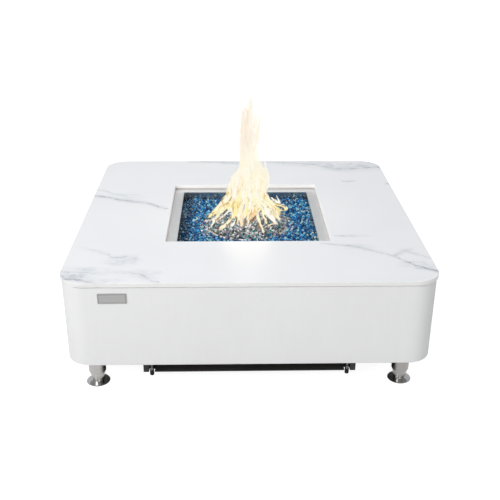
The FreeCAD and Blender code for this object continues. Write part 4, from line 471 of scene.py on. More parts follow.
# Colour, roughness, scale of the grain along the axes, strength of the scratches, brightness at the right
# (painted shade that darkens the legs towards the right).
BRUSHED = {
    "brushed_stainless": ((0.80, 0.79, 0.78), 0.36, (8.0, 520.0, 520.0)),
    "stainless_screw": ((0.74, 0.73, 0.71), 0.28, (300.0, 300.0, 40.0)),
    "feed_pipe": ((0.72, 0.71, 0.68), 0.34, (160.0, 160.0, 160.0), 0.06),
    "copper_lead": ((0.72, 0.40, 0.25), 0.33, (120.0, 120.0, 120.0), 0.05),
    "leg_stainless": ((0.42, 0.405, 0.39), 0.37, (30.0, 30.0, 900.0), 0.12, 0.78),
}
MATERIALS = {
    "sintered_stone": stone_material(),
    "cast_concrete": concrete_material(),
    "glass_fibre_tape": woven_tape_material(),
    "zinc_fastener": zinc_material(),
    "burner_stainless": burner_material(),
    "brass_fitting": brass_material(),
    "blue_glass": glass_material(),
    "valve_alloy": cast_alloy_material(),
    "polished_stainless": foot_material(),
    "nameplate_metal": nameplate_material(),
    **{name: coated(name, *values) for name, values in COATINGS.items()},
    **{name: brushed_metal(name, *values) for name, values in BRUSHED.items()},
}
OWN_FINISH = {
    "burner_pan": pan_material(),
    "stud_nuts": brushed_metal("black_oxide", (0.15, 0.15, 0.155), 0.38, (300.0, 300.0, 60.0)),
}


# ---- finish of the CAD nodes
def smooth(mesh, sharp_edges=True):
    mesh.polygons.foreach_set("use_smooth", [True] * len(mesh.polygons))
    if sharp_edges:
        mesh.set_sharp_from_angle(angle=SHARP_ANGLE)


for part in frame["record"]["subparts"]:
    node_mesh = nodes[part["node"]].data
    node_mesh.materials.clear()
    node_mesh.materials.append(OWN_FINISH.get(part["node"], MATERIALS[part["material_slot"]]))
    smooth(node_mesh)


# ---- building pieces
def add_object(name, data):
    thing = bpy.data.objects.new(name, data)
    bpy.context.scene.collection.objects.link(thing)
    return thing


def new_piece(name, vertices, faces, material):
    mesh = bpy.data.meshes.new(name)
    mesh.from_pydata([tuple(map(float, vertex)) for vertex in vertices], [], faces)
    mesh.update()
    mesh.materials.append(material)
    return add_object(name, mesh)


def add_colours(piece, colours, name="chip_colour"):
    attribute = piece.data.color_attributes.new(name, "FLOAT_COLOR", "POINT")
    attribute.data.foreach_set("color", np.c_[np.array(colours), np.ones(len(colours))].ravel())


def joined(forms):
    """Vertices and faces of several forms as one list each."""
    vertices, faces = [], []
    for form_vertices, form_faces in forms:
        first = len(vertices)
        vertices.extend(form_vertices)
        faces.extend([first + index for index in face] for face in form_faces)
    return vertices, faces


def around(start, axis, across, along, reach, angle):
    """Point at a distance along an axis and a reach away from it."""
    side = across * (reach * math.cos(angle)) + axis.cross(across) * (reach * math.sin(angle))
    return start + axis * along + side


def tube_faces(rings, sides):
    """Faces of a closed tube, whose vertices are given ring by ring."""
    faces = []
    for low in range(0, (rings - 1) * sides, sides):
        for step in range(sides):
            following = (step + 1) % sides
            faces.append((low + step, low + following, low + sides + following, low + sides + step))
    faces.append(tuple(reversed(range(sides))))
    faces.append(tuple(range((rings - 1) * sides, rings * sides)))
    return faces


# ---- crushed glass
CHIP_VARIANTS = 28
CHIP_CORNERS = 9
CHIP_SIZE = 7.0 * MM
CHIP_PITCH = 8.8 * MM
CHIP_SCALES = (0.68, 1.12)
CHIP_JITTER, CHIP_LIFT = 0.55, 1.2 * MM
CHIP_MARGIN, WALL_GAP = 3.0 * MM, 0.4 * MM
# Layers of loose chips: how far their middles sink below the bed's top, and the share that is kept.
CHIP_LAYERS = ((6.2 * MM, 1.0), (1.8 * MM, 0.93))
LOWEST_BED = 10.0 * MM
# Bare stretches of the ring in degrees, and the bare patch round the ignition set.
TUBE_RADIUS, BARE_HALF_WIDTH = 9.5 * MM, 2.2 * MM
BARE_ARCS = ((212, 236), (316, 350))
IGNITION_HALF_WIDTH, IGNITION_FROM, IGNITION_TO = 0.026, 0.152, 0.203
# The bed under the chips: squares along a side, its gap to the solid's faces, its sink and its painted shade,
# which darkens it where it shows between the chips.
BED_STEPS, BED_GAP = 100, 0.3 * MM
BED_SINK, EDGE_DROP, BED_PAINTED_SHADE = (3.5 * MM, 6.5 * MM), 6.0 * MM, 0.35

_, ring_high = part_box("ring_burner")
glass_low, glass_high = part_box("fire_glass")
RING_RADIUS = ring_high.x - TUBE_RADIUS
glass_mesh = nodes["fire_glass"].data
glass_surface = BVHTree.FromPolygons([vertex.co[:] for vertex in glass_mesh.vertices],
                                     [tuple(face.vertices) for face in glass_mesh.polygons])


def chip_variant():
    """Angular chip: the convex hull of a few points on a flattened ball."""
    points = random.normal(size=(CHIP_CORNERS, 3))
    points /= np.linalg.norm(points, axis=1)[:, None]
    points *= random.uniform(0.75, 1.0, size=(CHIP_CORNERS, 1)) * np.array([1.0, 0.8, 0.62])
    shape = bmesh.new()
    for point in points:
        shape.verts.new(point)
    hull = bmesh.ops.convex_hull(shape, input=shape.verts)
    inner = [element for element in hull["geom_interior"] if isinstance(element, bmesh.types.BMVert)]
    bmesh.ops.delete(shape, geom=inner, context="VERTS")
    shape.verts.index_update()
    vertices = np.array([vertex.co[:] for vertex in shape.verts])
    faces = [[vertex.index for vertex in face.verts] for face in shape.faces]
    shape.free()
    return vertices, faces


def random_rotation():
    a, b, c, d = random.normal(size=4)
    size = math.sqrt(a * a + b * b + c * c + d * d)
    a, b, c, d = (part / size for part in (a, b, c, d))
    return np.array([
        [1 - 2 * (c * c + d * d), 2 * (b * c - a * d), 2 * (b * d + a * c)],
        [2 * (b * c + a * d), 1 - 2 * (b * b + d * d), 2 * (c * d - a * b)],
        [2 * (b * d - a * c), 2 * (c * d + a * b), 1 - 2 * (b * b + c * c)],
    ])


# The palest chips in both palettes are pale glass and also painted glints, standing for the glass's sparkle.
CLEAR_CHIPS = [(0.62, 0.65, 0.62), (0.16, 0.25, 0.24), (0.28, 0.22, 0.27), (0.96, 0.97, 0.95),
               (0.05, 0.30, 0.32), (0.07, 0.09, 0.12), (0.46, 0.40, 0.54), (1.0, 1.0, 1.0),
               (0.34, 0.38, 0.35), (0.80, 0.84, 0.84)]
BLUE_CHIPS = [(0.001, 0.046, 0.16), (0.002, 0.102, 0.34), (0.008, 0.245, 0.62), (0.001, 0.059, 0.21),
              (0.012, 0.33, 0.76), (0.06, 0.46, 0.94), (0.003, 0.172, 0.47), (0.52, 0.85, 1.0),
              (0.24, 0.66, 1.0)]
# Painted light and shade on the chips by their x: painted shade by the left wall, painted light brightening
# them towards the middle and the right.
PAINTED_LIGHT_AND_SHADE_PLACES = (-0.204, -0.192, -0.182, -0.125, 0.12, 0.18)
PAINTED_LIGHT_AND_SHADE_LEVELS = (0.50, 0.66, 1.08, 1.30, 1.14, 1.18)
# Radius at which the palette turns from clear to blue, and how sharply.
CLEAR_RADIUS, CLEAR_BLEND = 0.147, 0.008


def chip_colour(x, y):
    """Blue with pale chips (partly painted glints), with painted shade by the left wall and painted light
    towards the middle and right; clear grey, teal and violet inside the ring.
    """
    inside = 1.0 / (1.0 + math.exp((math.hypot(x, y) - CLEAR_RADIUS) / CLEAR_BLEND))
    palette = CLEAR_CHIPS if random.random() < inside * 0.97 else BLUE_CHIPS
    colour = np.array(palette[random.integers(len(palette))])
    # Painted light and shade: the chip's brightness is scaled by its x.
    return np.clip(colour * random.uniform(0.75, 1.25) * np.interp(x, PAINTED_LIGHT_AND_SHADE_PLACES, PAINTED_LIGHT_AND_SHADE_LEVELS), 0.0, 1.0)


def relief(x, y):
    """Level of the bed's rough top, or None past its edge."""
    place = glass_surface.ray_cast(Vector((x, y, glass_high.z + 0.05)), -UP)[0]
    return None if place is None else place.z


def bare(x, y):
    """True over the stretches of the ring that the glass leaves bare, and round the ignition set."""
    angle = math.degrees(math.atan2(y, x)) % 360
    on_ring = abs(math.hypot(x, y) - RING_RADIUS) < BARE_HALF_WIDTH
    if on_ring and any(start < angle < end for start, end in BARE_ARCS):
        return True
    return abs(x) < IGNITION_HALF_WIDTH and IGNITION_FROM < y < IGNITION_TO


def crushed_glass():
    """Loose chips heaped over the rough top of the bed."""
    variants = [chip_variant() for _ in range(CHIP_VARIANTS)]
    vertices, faces, colours = [], [], []
    half = glass_high.x - CHIP_MARGIN
    wall = glass_high.x - WALL_GAP
    count = int(2 * half / CHIP_PITCH)
    for sink, keep in CHIP_LAYERS:
        for column in range(count + 1):
            for row in range(count + 1):
                places = (step + random.uniform(-CHIP_JITTER, CHIP_JITTER) for step in (column, row))
                x, y = (min(half, max(-half, -half + 2 * half * place / count)) for place in places)
                level = relief(x, y)
                shape, shape_faces = variants[random.integers(CHIP_VARIANTS)]
                turned_chip = (shape * CHIP_SIZE * random.uniform(*CHIP_SCALES)) @ random_rotation().T
                colour = chip_colour(x, y)
                if level is None or bare(x, y) or random.random() > keep:
                    continue
                start = len(vertices)
                z = max(level, glass_high.z - LOWEST_BED) - sink + random.uniform(-CHIP_LIFT, CHIP_LIFT)
                placed = turned_chip + np.array([x, y, z])
                vertices.extend(np.clip(placed, (-wall, -wall, 0.0), (wall, wall, 1.0)))
                faces.extend([start + index for index in face] for face in shape_faces)
                colours.extend([colour] * len(turned_chip))
    piece = new_piece("crushed_fire_glass", vertices, faces, MATERIALS["blue_glass"])
    add_colours(piece, colours)
    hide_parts("fire_glass")
    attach(piece, "table")


def glass_bed():
    """The heaped glass below the loose chips, which shows only between them, darkened with painted shade."""
    half = glass_high.x - BED_GAP
    line = np.linspace(-half, half, BED_STEPS + 1)
    vertices = []
    for y in line:
        for x in line:
            level = relief(*(min(half - MM, max(MM - half, value)) for value in (x, y)))
            vertices.append((x, y, (level or glass_high.z - EDGE_DROP) - random.uniform(*BED_SINK)))
    grid = np.arange(len(vertices)).reshape(BED_STEPS + 1, BED_STEPS + 1)
    corners = (grid[:-1, :-1], grid[:-1, 1:], grid[1:, 1:], grid[1:, :-1])
    faces = np.stack(corners, axis=-1).reshape(-1, 4).tolist()
    outline = np.concatenate((grid[0], grid[1:, -1], grid[-1, -2::-1], grid[-2:0:-1, 0])).tolist()
    lower = len(vertices)
    for index in outline:
        x, y, _ = vertices[index]
        vertices.append((x, y, glass_low.z + BED_GAP))
    size = len(outline)
    for index in range(size):
        following = (index + 1) % size
        faces.append((outline[following], outline[index], lower + index, lower + following))
    faces.append(tuple(reversed(range(lower, lower + size))))
    piece = new_piece("lower_glass_bed", vertices, faces, MATERIALS["blue_glass"])
    # Painted shade: the bed takes the chips' colours, darkened, for the shade between the chips.
    add_colours(piece, [chip_colour(x, y) * BED_PAINTED_SHADE for x, y, _ in vertices])
    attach(piece, "table")


crushed_glass()
glass_bed()


# ---- threaded studs under the rails
def thread(start, axis, across, length, radius, pitch, depth, per_turn=20):
    """Closed helical thread along an axis: rows of roots and crests that climb one pitch a turn."""
    rows = 2 * int(length / pitch) - 2
    rise = pitch / per_turn
    vertices, faces = [], []
    for row in range(rows + 1):
        reach = radius if row % 2 else radius - depth
        for step in range(per_turn):
            angle = 2 * math.pi * step / per_turn
            vertices.append(around(start, axis, across, row * pitch / 2 + step * rise, reach, angle))

    def at(step, row):
        return (row + 2) * per_turn if step == per_turn else row * per_turn + step

    for row in range(rows):
        for step in range(per_turn):
            if step == per_turn - 1 and row + 3 > rows:
                continue
            faces.append((at(step, row), at(step + 1, row), at(step + 1, row + 1), at(step, row + 1)))
    foot = [at(step, 0) for step in range(per_turn)] + [at(0, 2), at(0, 1)]
    head = [at(step, rows) for step in range(per_turn)]
    head += [at(per_turn - 1, rows - 1), at(per_turn - 1, rows - 2)]
    for loop, along, turn in ((foot, 0.0, 1), (head, rows * pitch / 2 + pitch, -1)):
        centre = len(vertices)
        vertices.append(start + axis * along)
        for index in range(len(loop)):
            pair = (loop[index], loop[(index + 1) % len(loop)])
            faces.append((centre, *pair[::-turn]))
    return vertices, faces


STUD_RADIUS, STUD_PITCH, STUD_DEPTH = 4.0 * MM, 1.25 * MM, 0.62 * MM


def hanging_studs():
    low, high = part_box("hanging_studs")
    rods = [thread(Vector((x, y, low.z)), UP, RIGHT, high.z - low.z, STUD_RADIUS, STUD_PITCH, STUD_DEPTH)
            for x in (low.x + STUD_RADIUS, high.x - STUD_RADIUS)
            for y in (low.y + STUD_RADIUS, high.y - STUD_RADIUS)]
    piece = new_piece("threaded_hanging_studs", *joined(rods), MATERIALS["zinc_fastener"])
    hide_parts("hanging_studs")
    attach(piece, "table")


hanging_studs()


# ---- hose connection
def turned(start, axis, across, profile, segments=36, flats=None):
    """Closed turned form: (distance along the axis, radius). With flats, it is cut to a hexagon."""
    vertices = []
    for along, radius in profile:
        for step in range(segments):
            angle = 2 * math.pi * step / segments
            reach = radius
            if flats:
                to_flat = (angle % (math.pi / 3)) - math.pi / 6
                reach = min(radius, flats / 2 / math.cos(to_flat))
            vertices.append(around(start, axis, across, along, reach, angle))
    return vertices, tube_faces(len(profile), segments)


BARREL_LENGTH, BARREL_RADIUS, BARREL_CHAMFER = 16 * MM, 7.95 * MM, 0.8 * MM
HEXAGON_LENGTH, HEXAGON_CHAMFER = 8 * MM, 1.1 * MM
FLARE_RADIUS, FLARE_PITCH, FLARE_DEPTH = 7.9 * MM, 1.41 * MM, 0.8 * MM
NOSE_RADIUS, NOSE_TIP, BORE_RADIUS, BORE_DEPTH = 6.9 * MM, 4.6 * MM, 4.0 * MM, 8.0 * MM


def hose_connection():
    """Flare fitting: barrel, chamfered hexagon, thread and coned nose with its bore."""
    low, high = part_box("inlet_fitting")
    centre = (low + high) / 2
    flats = min(high.x - low.x, high.z - low.z)
    edge, corner = flats * 0.485, flats / math.sqrt(3)
    stub = high.y - low.y - BARREL_LENGTH - HEXAGON_LENGTH
    tip = stub - 0.2 * MM
    start = Vector((centre.x, low.y, centre.z))
    hexagon_start = start + REARWARD * BARREL_LENGTH
    stub_start = start + REARWARD * (BARREL_LENGTH + HEXAGON_LENGTH)
    barrel = [(0.0, 7.4 * MM), (BARREL_CHAMFER, BARREL_RADIUS), (BARREL_LENGTH, BARREL_RADIUS)]
    hexagon = [(0.0, edge), (HEXAGON_CHAMFER, corner), (HEXAGON_LENGTH - HEXAGON_CHAMFER, corner),
               (HEXAGON_LENGTH, edge)]
    nose = [(0.0, NOSE_RADIUS), (stub - 3.2 * MM, NOSE_RADIUS), (tip, NOSE_TIP), (tip, BORE_RADIUS),
            (stub - BORE_DEPTH, BORE_RADIUS)]
    forms = [
        turned(start, REARWARD, RIGHT, barrel),
        turned(hexagon_start, REARWARD, RIGHT, hexagon, 72, flats),
        thread(stub_start, REARWARD, RIGHT, stub - 2.4 * MM, FLARE_RADIUS, FLARE_PITCH, FLARE_DEPTH, 28),
        turned(stub_start, REARWARD, RIGHT, nose),
    ]
    piece = new_piece("flare_hose_connection", *joined(forms), MATERIALS["brass_fitting"])
    smooth(piece.data)
    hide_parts("inlet_fitting")
    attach(piece, "table")


hose_connection()


# ---- levelling feet
# Rim of a foot's disc: height, and what it lacks of the full radius. In millimetres.
FOOT_RIM = ((0.0, 0.5), (0.5, 0.0), (1.6, 0.0), (2.8, 1.4), (3.2, 3.0))
# Fall of the disc, neck, shoulder and stud: height and radius.
FOOT_NECK = ((4.6, 24.0), (6.0, 16.4), (7.0, 16.2), (37.5, 24.3), (38.5, 23.5), (38.5, 5.0))


def levelling_foot(corner):
    """Turned foot: a disc that falls off to its bevelled rim, a coned neck and the stud inside the leg."""
    node = f"levelling_foot_{corner}"
    low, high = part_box(node)
    radius = (high.x - low.x) / 2
    start = Vector(((low.x + high.x) / 2, (low.y + high.y) / 2, low.z))
    profile = [(level * MM, radius - inset * MM) for level, inset in FOOT_RIM]
    profile += [(level * MM, reach * MM) for level, reach in FOOT_NECK]
    profile.append((high.z - low.z, profile[-1][1]))
    form = turned(start, UP, RIGHT, profile, 64)
    piece = new_piece(f"turned_foot_{corner}", *form, MATERIALS["polished_stainless"])
    smooth(piece.data)
    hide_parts(node)
    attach(piece, f"foot_{corner}")


for foot_corner in ("front_left", "front_right", "rear_left", "rear_right"):
    levelling_foot(foot_corner)


# ---- flame (fire, not a part)
# Heights of the flame's foot and top, and the steps along and round each tongue of it.
FLAME_FOOT = 0.327
FLAME_TOP = 0.790
TONGUE_STEPS, TONGUE_SIDES = 26, 16
CREAM, YELLOW, PEACH, WHITE = (1.0, 0.94, 0.66), (1.0, 0.90, 0.46), (1.0, 0.84, 0.60), (1.0, 0.98, 0.86)
AMBER, BROWN, OLIVE, GOLD = (0.94, 0.66, 0.36), (0.42, 0.26, 0.15), (0.26, 0.22, 0.12), (0.62, 0.36, 0.08)
LILAC, DUSK, WISP = (0.66, 0.60, 0.62), (0.10, 0.08, 0.09), (0.72, 0.74, 0.76)


def flame_material():
    """Glowing gas, each tongue in its own tone; thin low edges turn orange, the top is see-through."""
    material = bpy.data.materials.new("flame")
    tree = Nodes(material)
    tree.object_place()
    level = tree.spread(tree.axes()[2], FLAME_FOOT - 0.006, FLAME_TOP)
    tone = tree.put("VertexColor", layer_name="tone").outputs[0]
    rim = tree.put("Attribute", attribute_name="rim").outputs["Fac"]
    streaks = tree.noise(1.0, 3.0, 0.6, 0.5, (90.0, 90.0, 24.0))
    outward = tree.multiply_add(rim, 0.55, tree.multiply_add(streaks, 3.4, -1.85))
    patches = tree.spread(tree.noise(34.0, 2.0, 0.5), 0.50, 0.64)
    outward = tree.multiply_add(patches, 0.48, outward)
    scorched = tree.ramp(level, (0.0, (0.32, 0.14, 0.07)), (0.10, (0.56, 0.29, 0.13)),
                         (0.20, (0.80, 0.54, 0.26)), (0.32, (0.97, 0.84, 0.62)), (0.5, (1.0, 0.98, 0.95)))
    tone = tree.mix(tree.spread(level, 0.18, 0.32, 0.0, 0.72), tone, (1.0, 0.97, 0.84))
    tone = tree.mix(tree.spread(level, 0.46, 0.60, 0.0, 0.80), tone, (0.995, 0.885, 0.76))
    colour = tree.mix(tree.spread(outward, 0.30, 0.90), tone, tree.mix(1.0, tone, scorched, "MULTIPLY"))
    body = tree.ramp(level, (0.0, 0.6), (0.04, 0.98), (0.26, 0.95), (0.40, 0.62), (0.60, 0.50), (0.84, 0.48),
                     (1.0, 0.0))
    soft_from = tree.spread(level, 0.06, 0.34, 0.80, 0.30)
    fade = tree.spread(rim, soft_from, 1.0, 1.0, 0.0, smooth=True)
    gaps = tree.spread(tree.noise(1.0, 2.0, 0.5, stretch=(110.0, 110.0, 26.0)), 0.59, 0.65)
    gaps = tree.multiply(gaps, tree.spread(level, 0.10, 0.26, 0.9, 0.0))
    body = tree.multiply(body, tree.subtract(1.0, gaps))
    seen = tree.rays("Camera", "Glossy", "Transmission")
    opacity = tree.multiply(tree.multiply(body, fade), seen)
    glow = tree.put("Emission", {"Color": colour})
    clear = tree.put("BsdfTransparent")
    tree.surface(tree.put("MixShader", {0: opacity, 1: clear.outputs[0], 2: glow.outputs[0]}))
    return material


def along_path(path, share):
    """Point of a smooth curve through the given points."""
    place = share * (len(path) - 1)
    first = min(int(place), len(path) - 2)
    part = place - first
    before, after = path[max(first - 1, 0)], path[min(first + 2, len(path) - 1)]
    here, there = path[first], path[first + 1]
    return 0.5 * (2 * here + (there - before) * part + (2 * before - 5 * here + 4 * there - after) * part ** 2
                  + (3 * here - before - 3 * there + after) * part ** 3)


def tongue(path, widths, flatness, facing, sway):
    """Closed flattened tongue round a smooth path: vertices, faces, each vertex's rim share."""
    path = np.array(path)
    phases = random.uniform(0, 2 * math.pi, size=4)
    vertices, rims = [], []
    for step in range(TONGUE_STEPS + 1):
        share = step / TONGUE_STEPS
        drift = np.array([math.sin(9 * share + phases[0]), math.sin(8 * share + phases[1]), 0.0])
        centre = along_path(path, share) + sway * drift
        width = np.interp(share, np.linspace(0, 1, len(widths)), widths)
        width *= 1.0 + 0.16 * math.sin(17 * share + phases[2]) + 0.10 * math.sin(31 * share + phases[3])
        twist = facing + 0.3 * math.sin(5 * share + phases[2])
        for side in range(TONGUE_SIDES):
            angle = 2 * math.pi * side / TONGUE_SIDES
            a, b = width * math.cos(angle), width * flatness * math.sin(angle)
            vertices.append(centre + np.array([a * math.cos(twist) - b * math.sin(twist),
                                               a * math.sin(twist) + b * math.cos(twist), 0.0]))
            rims.append(abs(math.cos(angle)))
    return vertices, tube_faces(TONGUE_STEPS + 1, TONGUE_SIDES), rims


# Licks over the glass, left to right, in millimetres: points (x, y, z) from the tip up, half widths, tone.
LICKS = [
    (((-120, 24, 342), (-98, 22, 366), (-82, 18, 396), (-56, 10, 428), (-28, 4, 458)),
     (5, 8, 8, 11, 9), CREAM),
    (((-126, 12, 338), (-108, 12, 354), (-80, 10, 368), (-54, 6, 390), (-28, 2, 420), (-14, 0, 450)),
     (4, 10, 11, 10, 10, 7), YELLOW),
    (((-100, 4, 352), (-78, 2, 376), (-52, 0, 404), (-30, -4, 430)), (5, 8, 8, 5), CREAM),
    (((-108, -20, 333), (-98, -21, 340), (-82, -20, 352), (-64, -18, 370), (-42, -14, 392), (-24, -10, 416)),
     (3, 5, 5, 5, 5, 5), WHITE),
    (((-116, -38, 327), (-113, -32, 337), (-110, -26, 347), (-100, -20, 354)), (2, 5, 5, 3), WHITE),
    (((-134, -14, 334), (-122, -16, 340), (-110, -18, 346)), (1.2, 3.5, 2.5), PEACH),
    (((-88, -72, 328), (-78, -62, 336), (-60, -46, 350), (-44, -32, 366), (-35, -22, 384), (-22, -12, 410)),
     (8, 9, 7, 6.5, 7.5, 7), CREAM),
    (((-58, -62, 327), (-46, -52, 337), (-36, -42, 352), (-28, -30, 372)), (3.2, 4.6, 4.6, 6), WHITE),
    (((-20, -42, 327), (-18, -38, 346), (-13, -28, 372), (-6, -16, 408)), (5, 6.5, 7.5, 8), PEACH),
    (((-32, -36, 336), (-24, -28, 366), (-16, -16, 404), (-8, -6, 448)), (4, 10, 13, 10), CREAM),
    (((0, -42, 327), (4, -36, 348), (9, -26, 374), (12, -14, 412)), (3, 5, 7, 9), CREAM),
    (((-4, -26, 378), (-2, -20, 416), (0, -12, 462)), (5, 10, 8), WHITE),
    (((52, -100, 328), (44, -78, 346), (38, -54, 364), (27, -34, 394), (17, -18, 426)),
     (3.2, 4.6, 5.4, 6.4, 7), CREAM),
    (((98, -24, 327), (82, -20, 350), (62, -16, 380), (40, -12, 420), (26, -6, 452)),
     (7, 11, 14, 14, 10), WHITE),
    (((66, -50, 329), (76, -46, 335), (90, -42, 337), (99, -36, 333)), (5, 7, 6, 3), PEACH),
    (((62, -46, 334), (60, -36, 356), (52, -26, 386), (38, -14, 424)), (3, 6, 7, 8), CREAM),
    (((97, 14, 336), (103, 12, 356), (90, 10, 380), (62, 8, 403), (42, 4, 434)), (6, 12, 12, 9, 8), YELLOW),
    (((108, -4, 344), (98, -6, 366), (76, -8, 388), (48, -8, 420)), (3, 7, 9, 8), CREAM),
]
# Dark gaps, scorched patches and cool streaks that show between the licks, given in the same way.
SHADES = [
    (((-96, 0, 372), (-84, 0, 384), (-76, 0, 392)), (1, 3, 1), AMBER),
    (((-86, 0, 400), (-80, 0, 408), (-74, -2, 416)), (0.8, 2.2, 0.8), OLIVE),
    (((-60, -6, 400), (-56, -6, 408), (-51, -8, 418)), (0.8, 2.4, 0.8), BROWN),
    (((-92, -30, 344), (-82, -30, 352), (-74, -30, 356)), (0.8, 2.6, 0.8), BROWN),
    (((-66, -60, 336), (-58, -54, 342), (-50, -50, 348)), (0.8, 2.8, 0.8), BROWN),
    (((-40, -56, 338), (-36, -52, 350), (-33, -46, 364)), (1, 3, 1), OLIVE),
    (((-8, -50, 334), (-6, -46, 346), (-4, -44, 360)), (1, 2.6, 0.8), OLIVE),
    (((-12, -38, 382), (-10, -36, 392), (-7, -32, 404)), (1, 3, 1), LILAC),
    (((8, -44, 352), (16, -42, 364), (26, -40, 376), (30, -36, 388)), (3, 8, 7, 2), AMBER),
    (((14, -50, 346), (22, -48, 354), (30, -46, 364)), (2, 5, 2), BROWN),
    (((-27, -24, 420), (-25, -24, 430), (-23, -22, 440)), (2, 4.5, 2), PEACH),
    (((24, -44, 392), (29, -46, 382), (36, -48, 370)), (1.5, 3.5, 1), AMBER),
    (((33, -72, 352), (37, -80, 344), (42, -90, 336)), (0.8, 2, 0.8), BROWN),
    (((57, -46, 370), (62, -46, 362), (68, -46, 354)), (0.8, 2.6, 0.8), DUSK),
    (((60, -56, 344), (64, -56, 338), (69, -56, 332)), (1, 3, 1), DUSK),
    (((70, -52, 345), (80, -50, 342), (92, -46, 343)), (0.8, 1.8, 0.8), BROWN),
    (((46, -40, 404), (52, -40, 396), (57, -40, 386)), (0.8, 2, 0.8), LILAC),
    (((84, -22, 364), (92, -20, 356), (98, -18, 346)), (1, 2.6, 1), AMBER),
    (((20, -30, 424), (24, -30, 414), (29, -30, 404)), (1, 2.6, 1), YELLOW),
    (((12, -24, 508), (11, -24, 524), (12, -24, 540)), (0.8, 2.2, 1), LILAC),
    (((-30, -24, 398), (-27, -24, 408), (-22, -24, 418)), (0.8, 2, 0.8), YELLOW),
]
# Licks that curl up at the right: points (x, y, z) and half width.
CURLS = [
    (((86, 40, 376), (104, 55, 356), (120, 60, 344), (134, 62, 344), (136, 62, 353), (122, 60, 354)),
     5.6, YELLOW),
    (((90, 50, 384), (112, 62, 368), (130, 64, 362), (142, 64, 352), (140, 62, 342)), 2.6, WHITE),
    (((98, 40, 362), (112, 44, 354), (124, 46, 350), (134, 46, 351)), 1.7, GOLD),
    (((92, 40, 350), (106, 44, 342), (120, 46, 337), (130, 46, 338)), 1.7, GOLD),
    (((100, 60, 392), (116, 64, 380), (134, 66, 374), (146, 66, 358)), 1.0, OLIVE),
    (((84, 40, 398), (96, 55, 384), (106, 60, 374), (113, 60, 372), (110, 60, 384), (103, 60, 398)),
     5.0, WHITE),
]
# The column over the pan: points (x, y, z) and half width.
COLUMN = [
    (((0, 0, 372), (2, 0, 440), (4, 0, 520), (2, 0, 590), (8, 0, 690), (14, 0, 768)), 17, CREAM),
    (((-28, 6, 378), (-32, 8, 440), (-10, 8, 520), (-14, 5, 590), (-15, 0, 650), (-18, 0, 712)), 14, PEACH),
    (((30, -6, 372), (36, -8, 440), (22, -8, 520), (18, -6, 590), (22, 0, 655), (24, 0, 704)), 14, CREAM),
    (((40, 8, 400), (49, 8, 456), (42, 6, 505), (26, 4, 560), (34, 0, 612), (44, 0, 690)), 11, YELLOW),
    (((-44, -2, 400), (-44, 0, 452), (-20, 0, 505), (-10, 0, 552), (-14, 0, 606), (-18, 0, 716)), 11, PEACH),
    (((10, -4, 420), (12, -4, 500), (8, -4, 580), (12, -4, 650), (12, -2, 710), (15, 0, 770)), 11, WHITE),
    (((42, 0, 380), (46, 0, 428), (60, 0, 476), (54, 0, 508), (36, 0, 536)), 13, PEACH),
    (((44, 2, 400), (48, 2, 440), (40, 2, 480), (30, 2, 520)), 15, CREAM),
    (((-52, 0, 392), (-57, 0, 436), (-46, 0, 474), (-26, 0, 506), (-14, 0, 545)), 12, CREAM),
    (((-34, 2, 400), (-36, 2, 440), (-24, 2, 480), (-12, 2, 520)), 14, WHITE),
    (((66, 6, 440), (72, 6, 490), (62, 4, 530), (60, 2, 566), (64, 0, 602)), 3, WHITE),
    (((2, 3, 480), (-6, 3, 560), (0, 3, 620), (-4, 3, 670), (0, 0, 726)), 12, YELLOW),
    (((-8, -3, 470), (-6, -3, 540), (-10, -3, 600), (-8, -3, 645), (-10, 0, 690)), 11, WHITE),
    (((-36, 0, 728), (-34, 0, 742), (-31, 0, 752)), 3, WISP),
    (((-24, 0, 704), (-27, 0, 712), (-32, 0, 722)), 3, WISP),
    (((-8, -2, 700), (-5, -2, 712), (-3, -2, 724)), 2.6, WISP),
]

# Soft glow in front of the middle and round the column, as LICKS, with the rim share in the middle.
GLOWS = [
    (((8, -36, 388), (10, -34, 430), (10, -30, 482)), (5, 10, 8), WHITE, 0.30),
    (((-14, -34, 404), (-12, -32, 440), (-8, -30, 478)), (5, 9, 7), WHITE, 0.35),
    (((-44, -28, 424), (-40, -26, 450), (-32, -24, 484)), (7, 12, 7), WHITE, 0.35),
    (((34, -28, 420), (34, -26, 450), (30, -24, 484)), (6, 10, 7), WHITE, 0.40),
    (((-16, 4, 560), (-15, 4, 640), (-12, 4, 700), (-8, 4, 752)), (14, 20, 18, 8), PEACH, 0.42),
    (((4, 6, 580), (6, 6, 660), (8, 6, 730), (12, 6, 786)), (20, 24, 22, 12), LILAC, 0.60),
    (((36, 4, 600), (38, 4, 650), (37, 4, 695), (34, 4, 735)), (12, 18, 15, 7), YELLOW, 0.45),
    (((46, 40, 400), (82, 60, 374), (112, 70, 359), (128, 72, 352), (137, 72, 343)),
     (8, 12, 9, 7, 2), YELLOW, 0.0),
    (((50, 10, 392), (74, 20, 372), (96, 26, 356), (104, 28, 342)), (6, 10, 9, 5), CREAM, 0.0),
]


# Half widths along a tongue, as shares of its own, from foot to tip.
CURL_TAPER = (0.9, 1.3, 1.2, 1.0, 0.6, 0.12)
COLUMN_TAPER = (0.8, 1.35, 1.3, 1.2, 1.1, 0.8, 0.1)
REAR_TAPER = (0.35, 0.85, 1.05, 0.95, 0.7, 0.3)
CORE_TAPER = (0.2, 0.85, 1.05, 0.95, 0.7, 0.3)
REAR_LICKS, CORE_LICKS = 18, 16
CORE_FOOT = 0.352


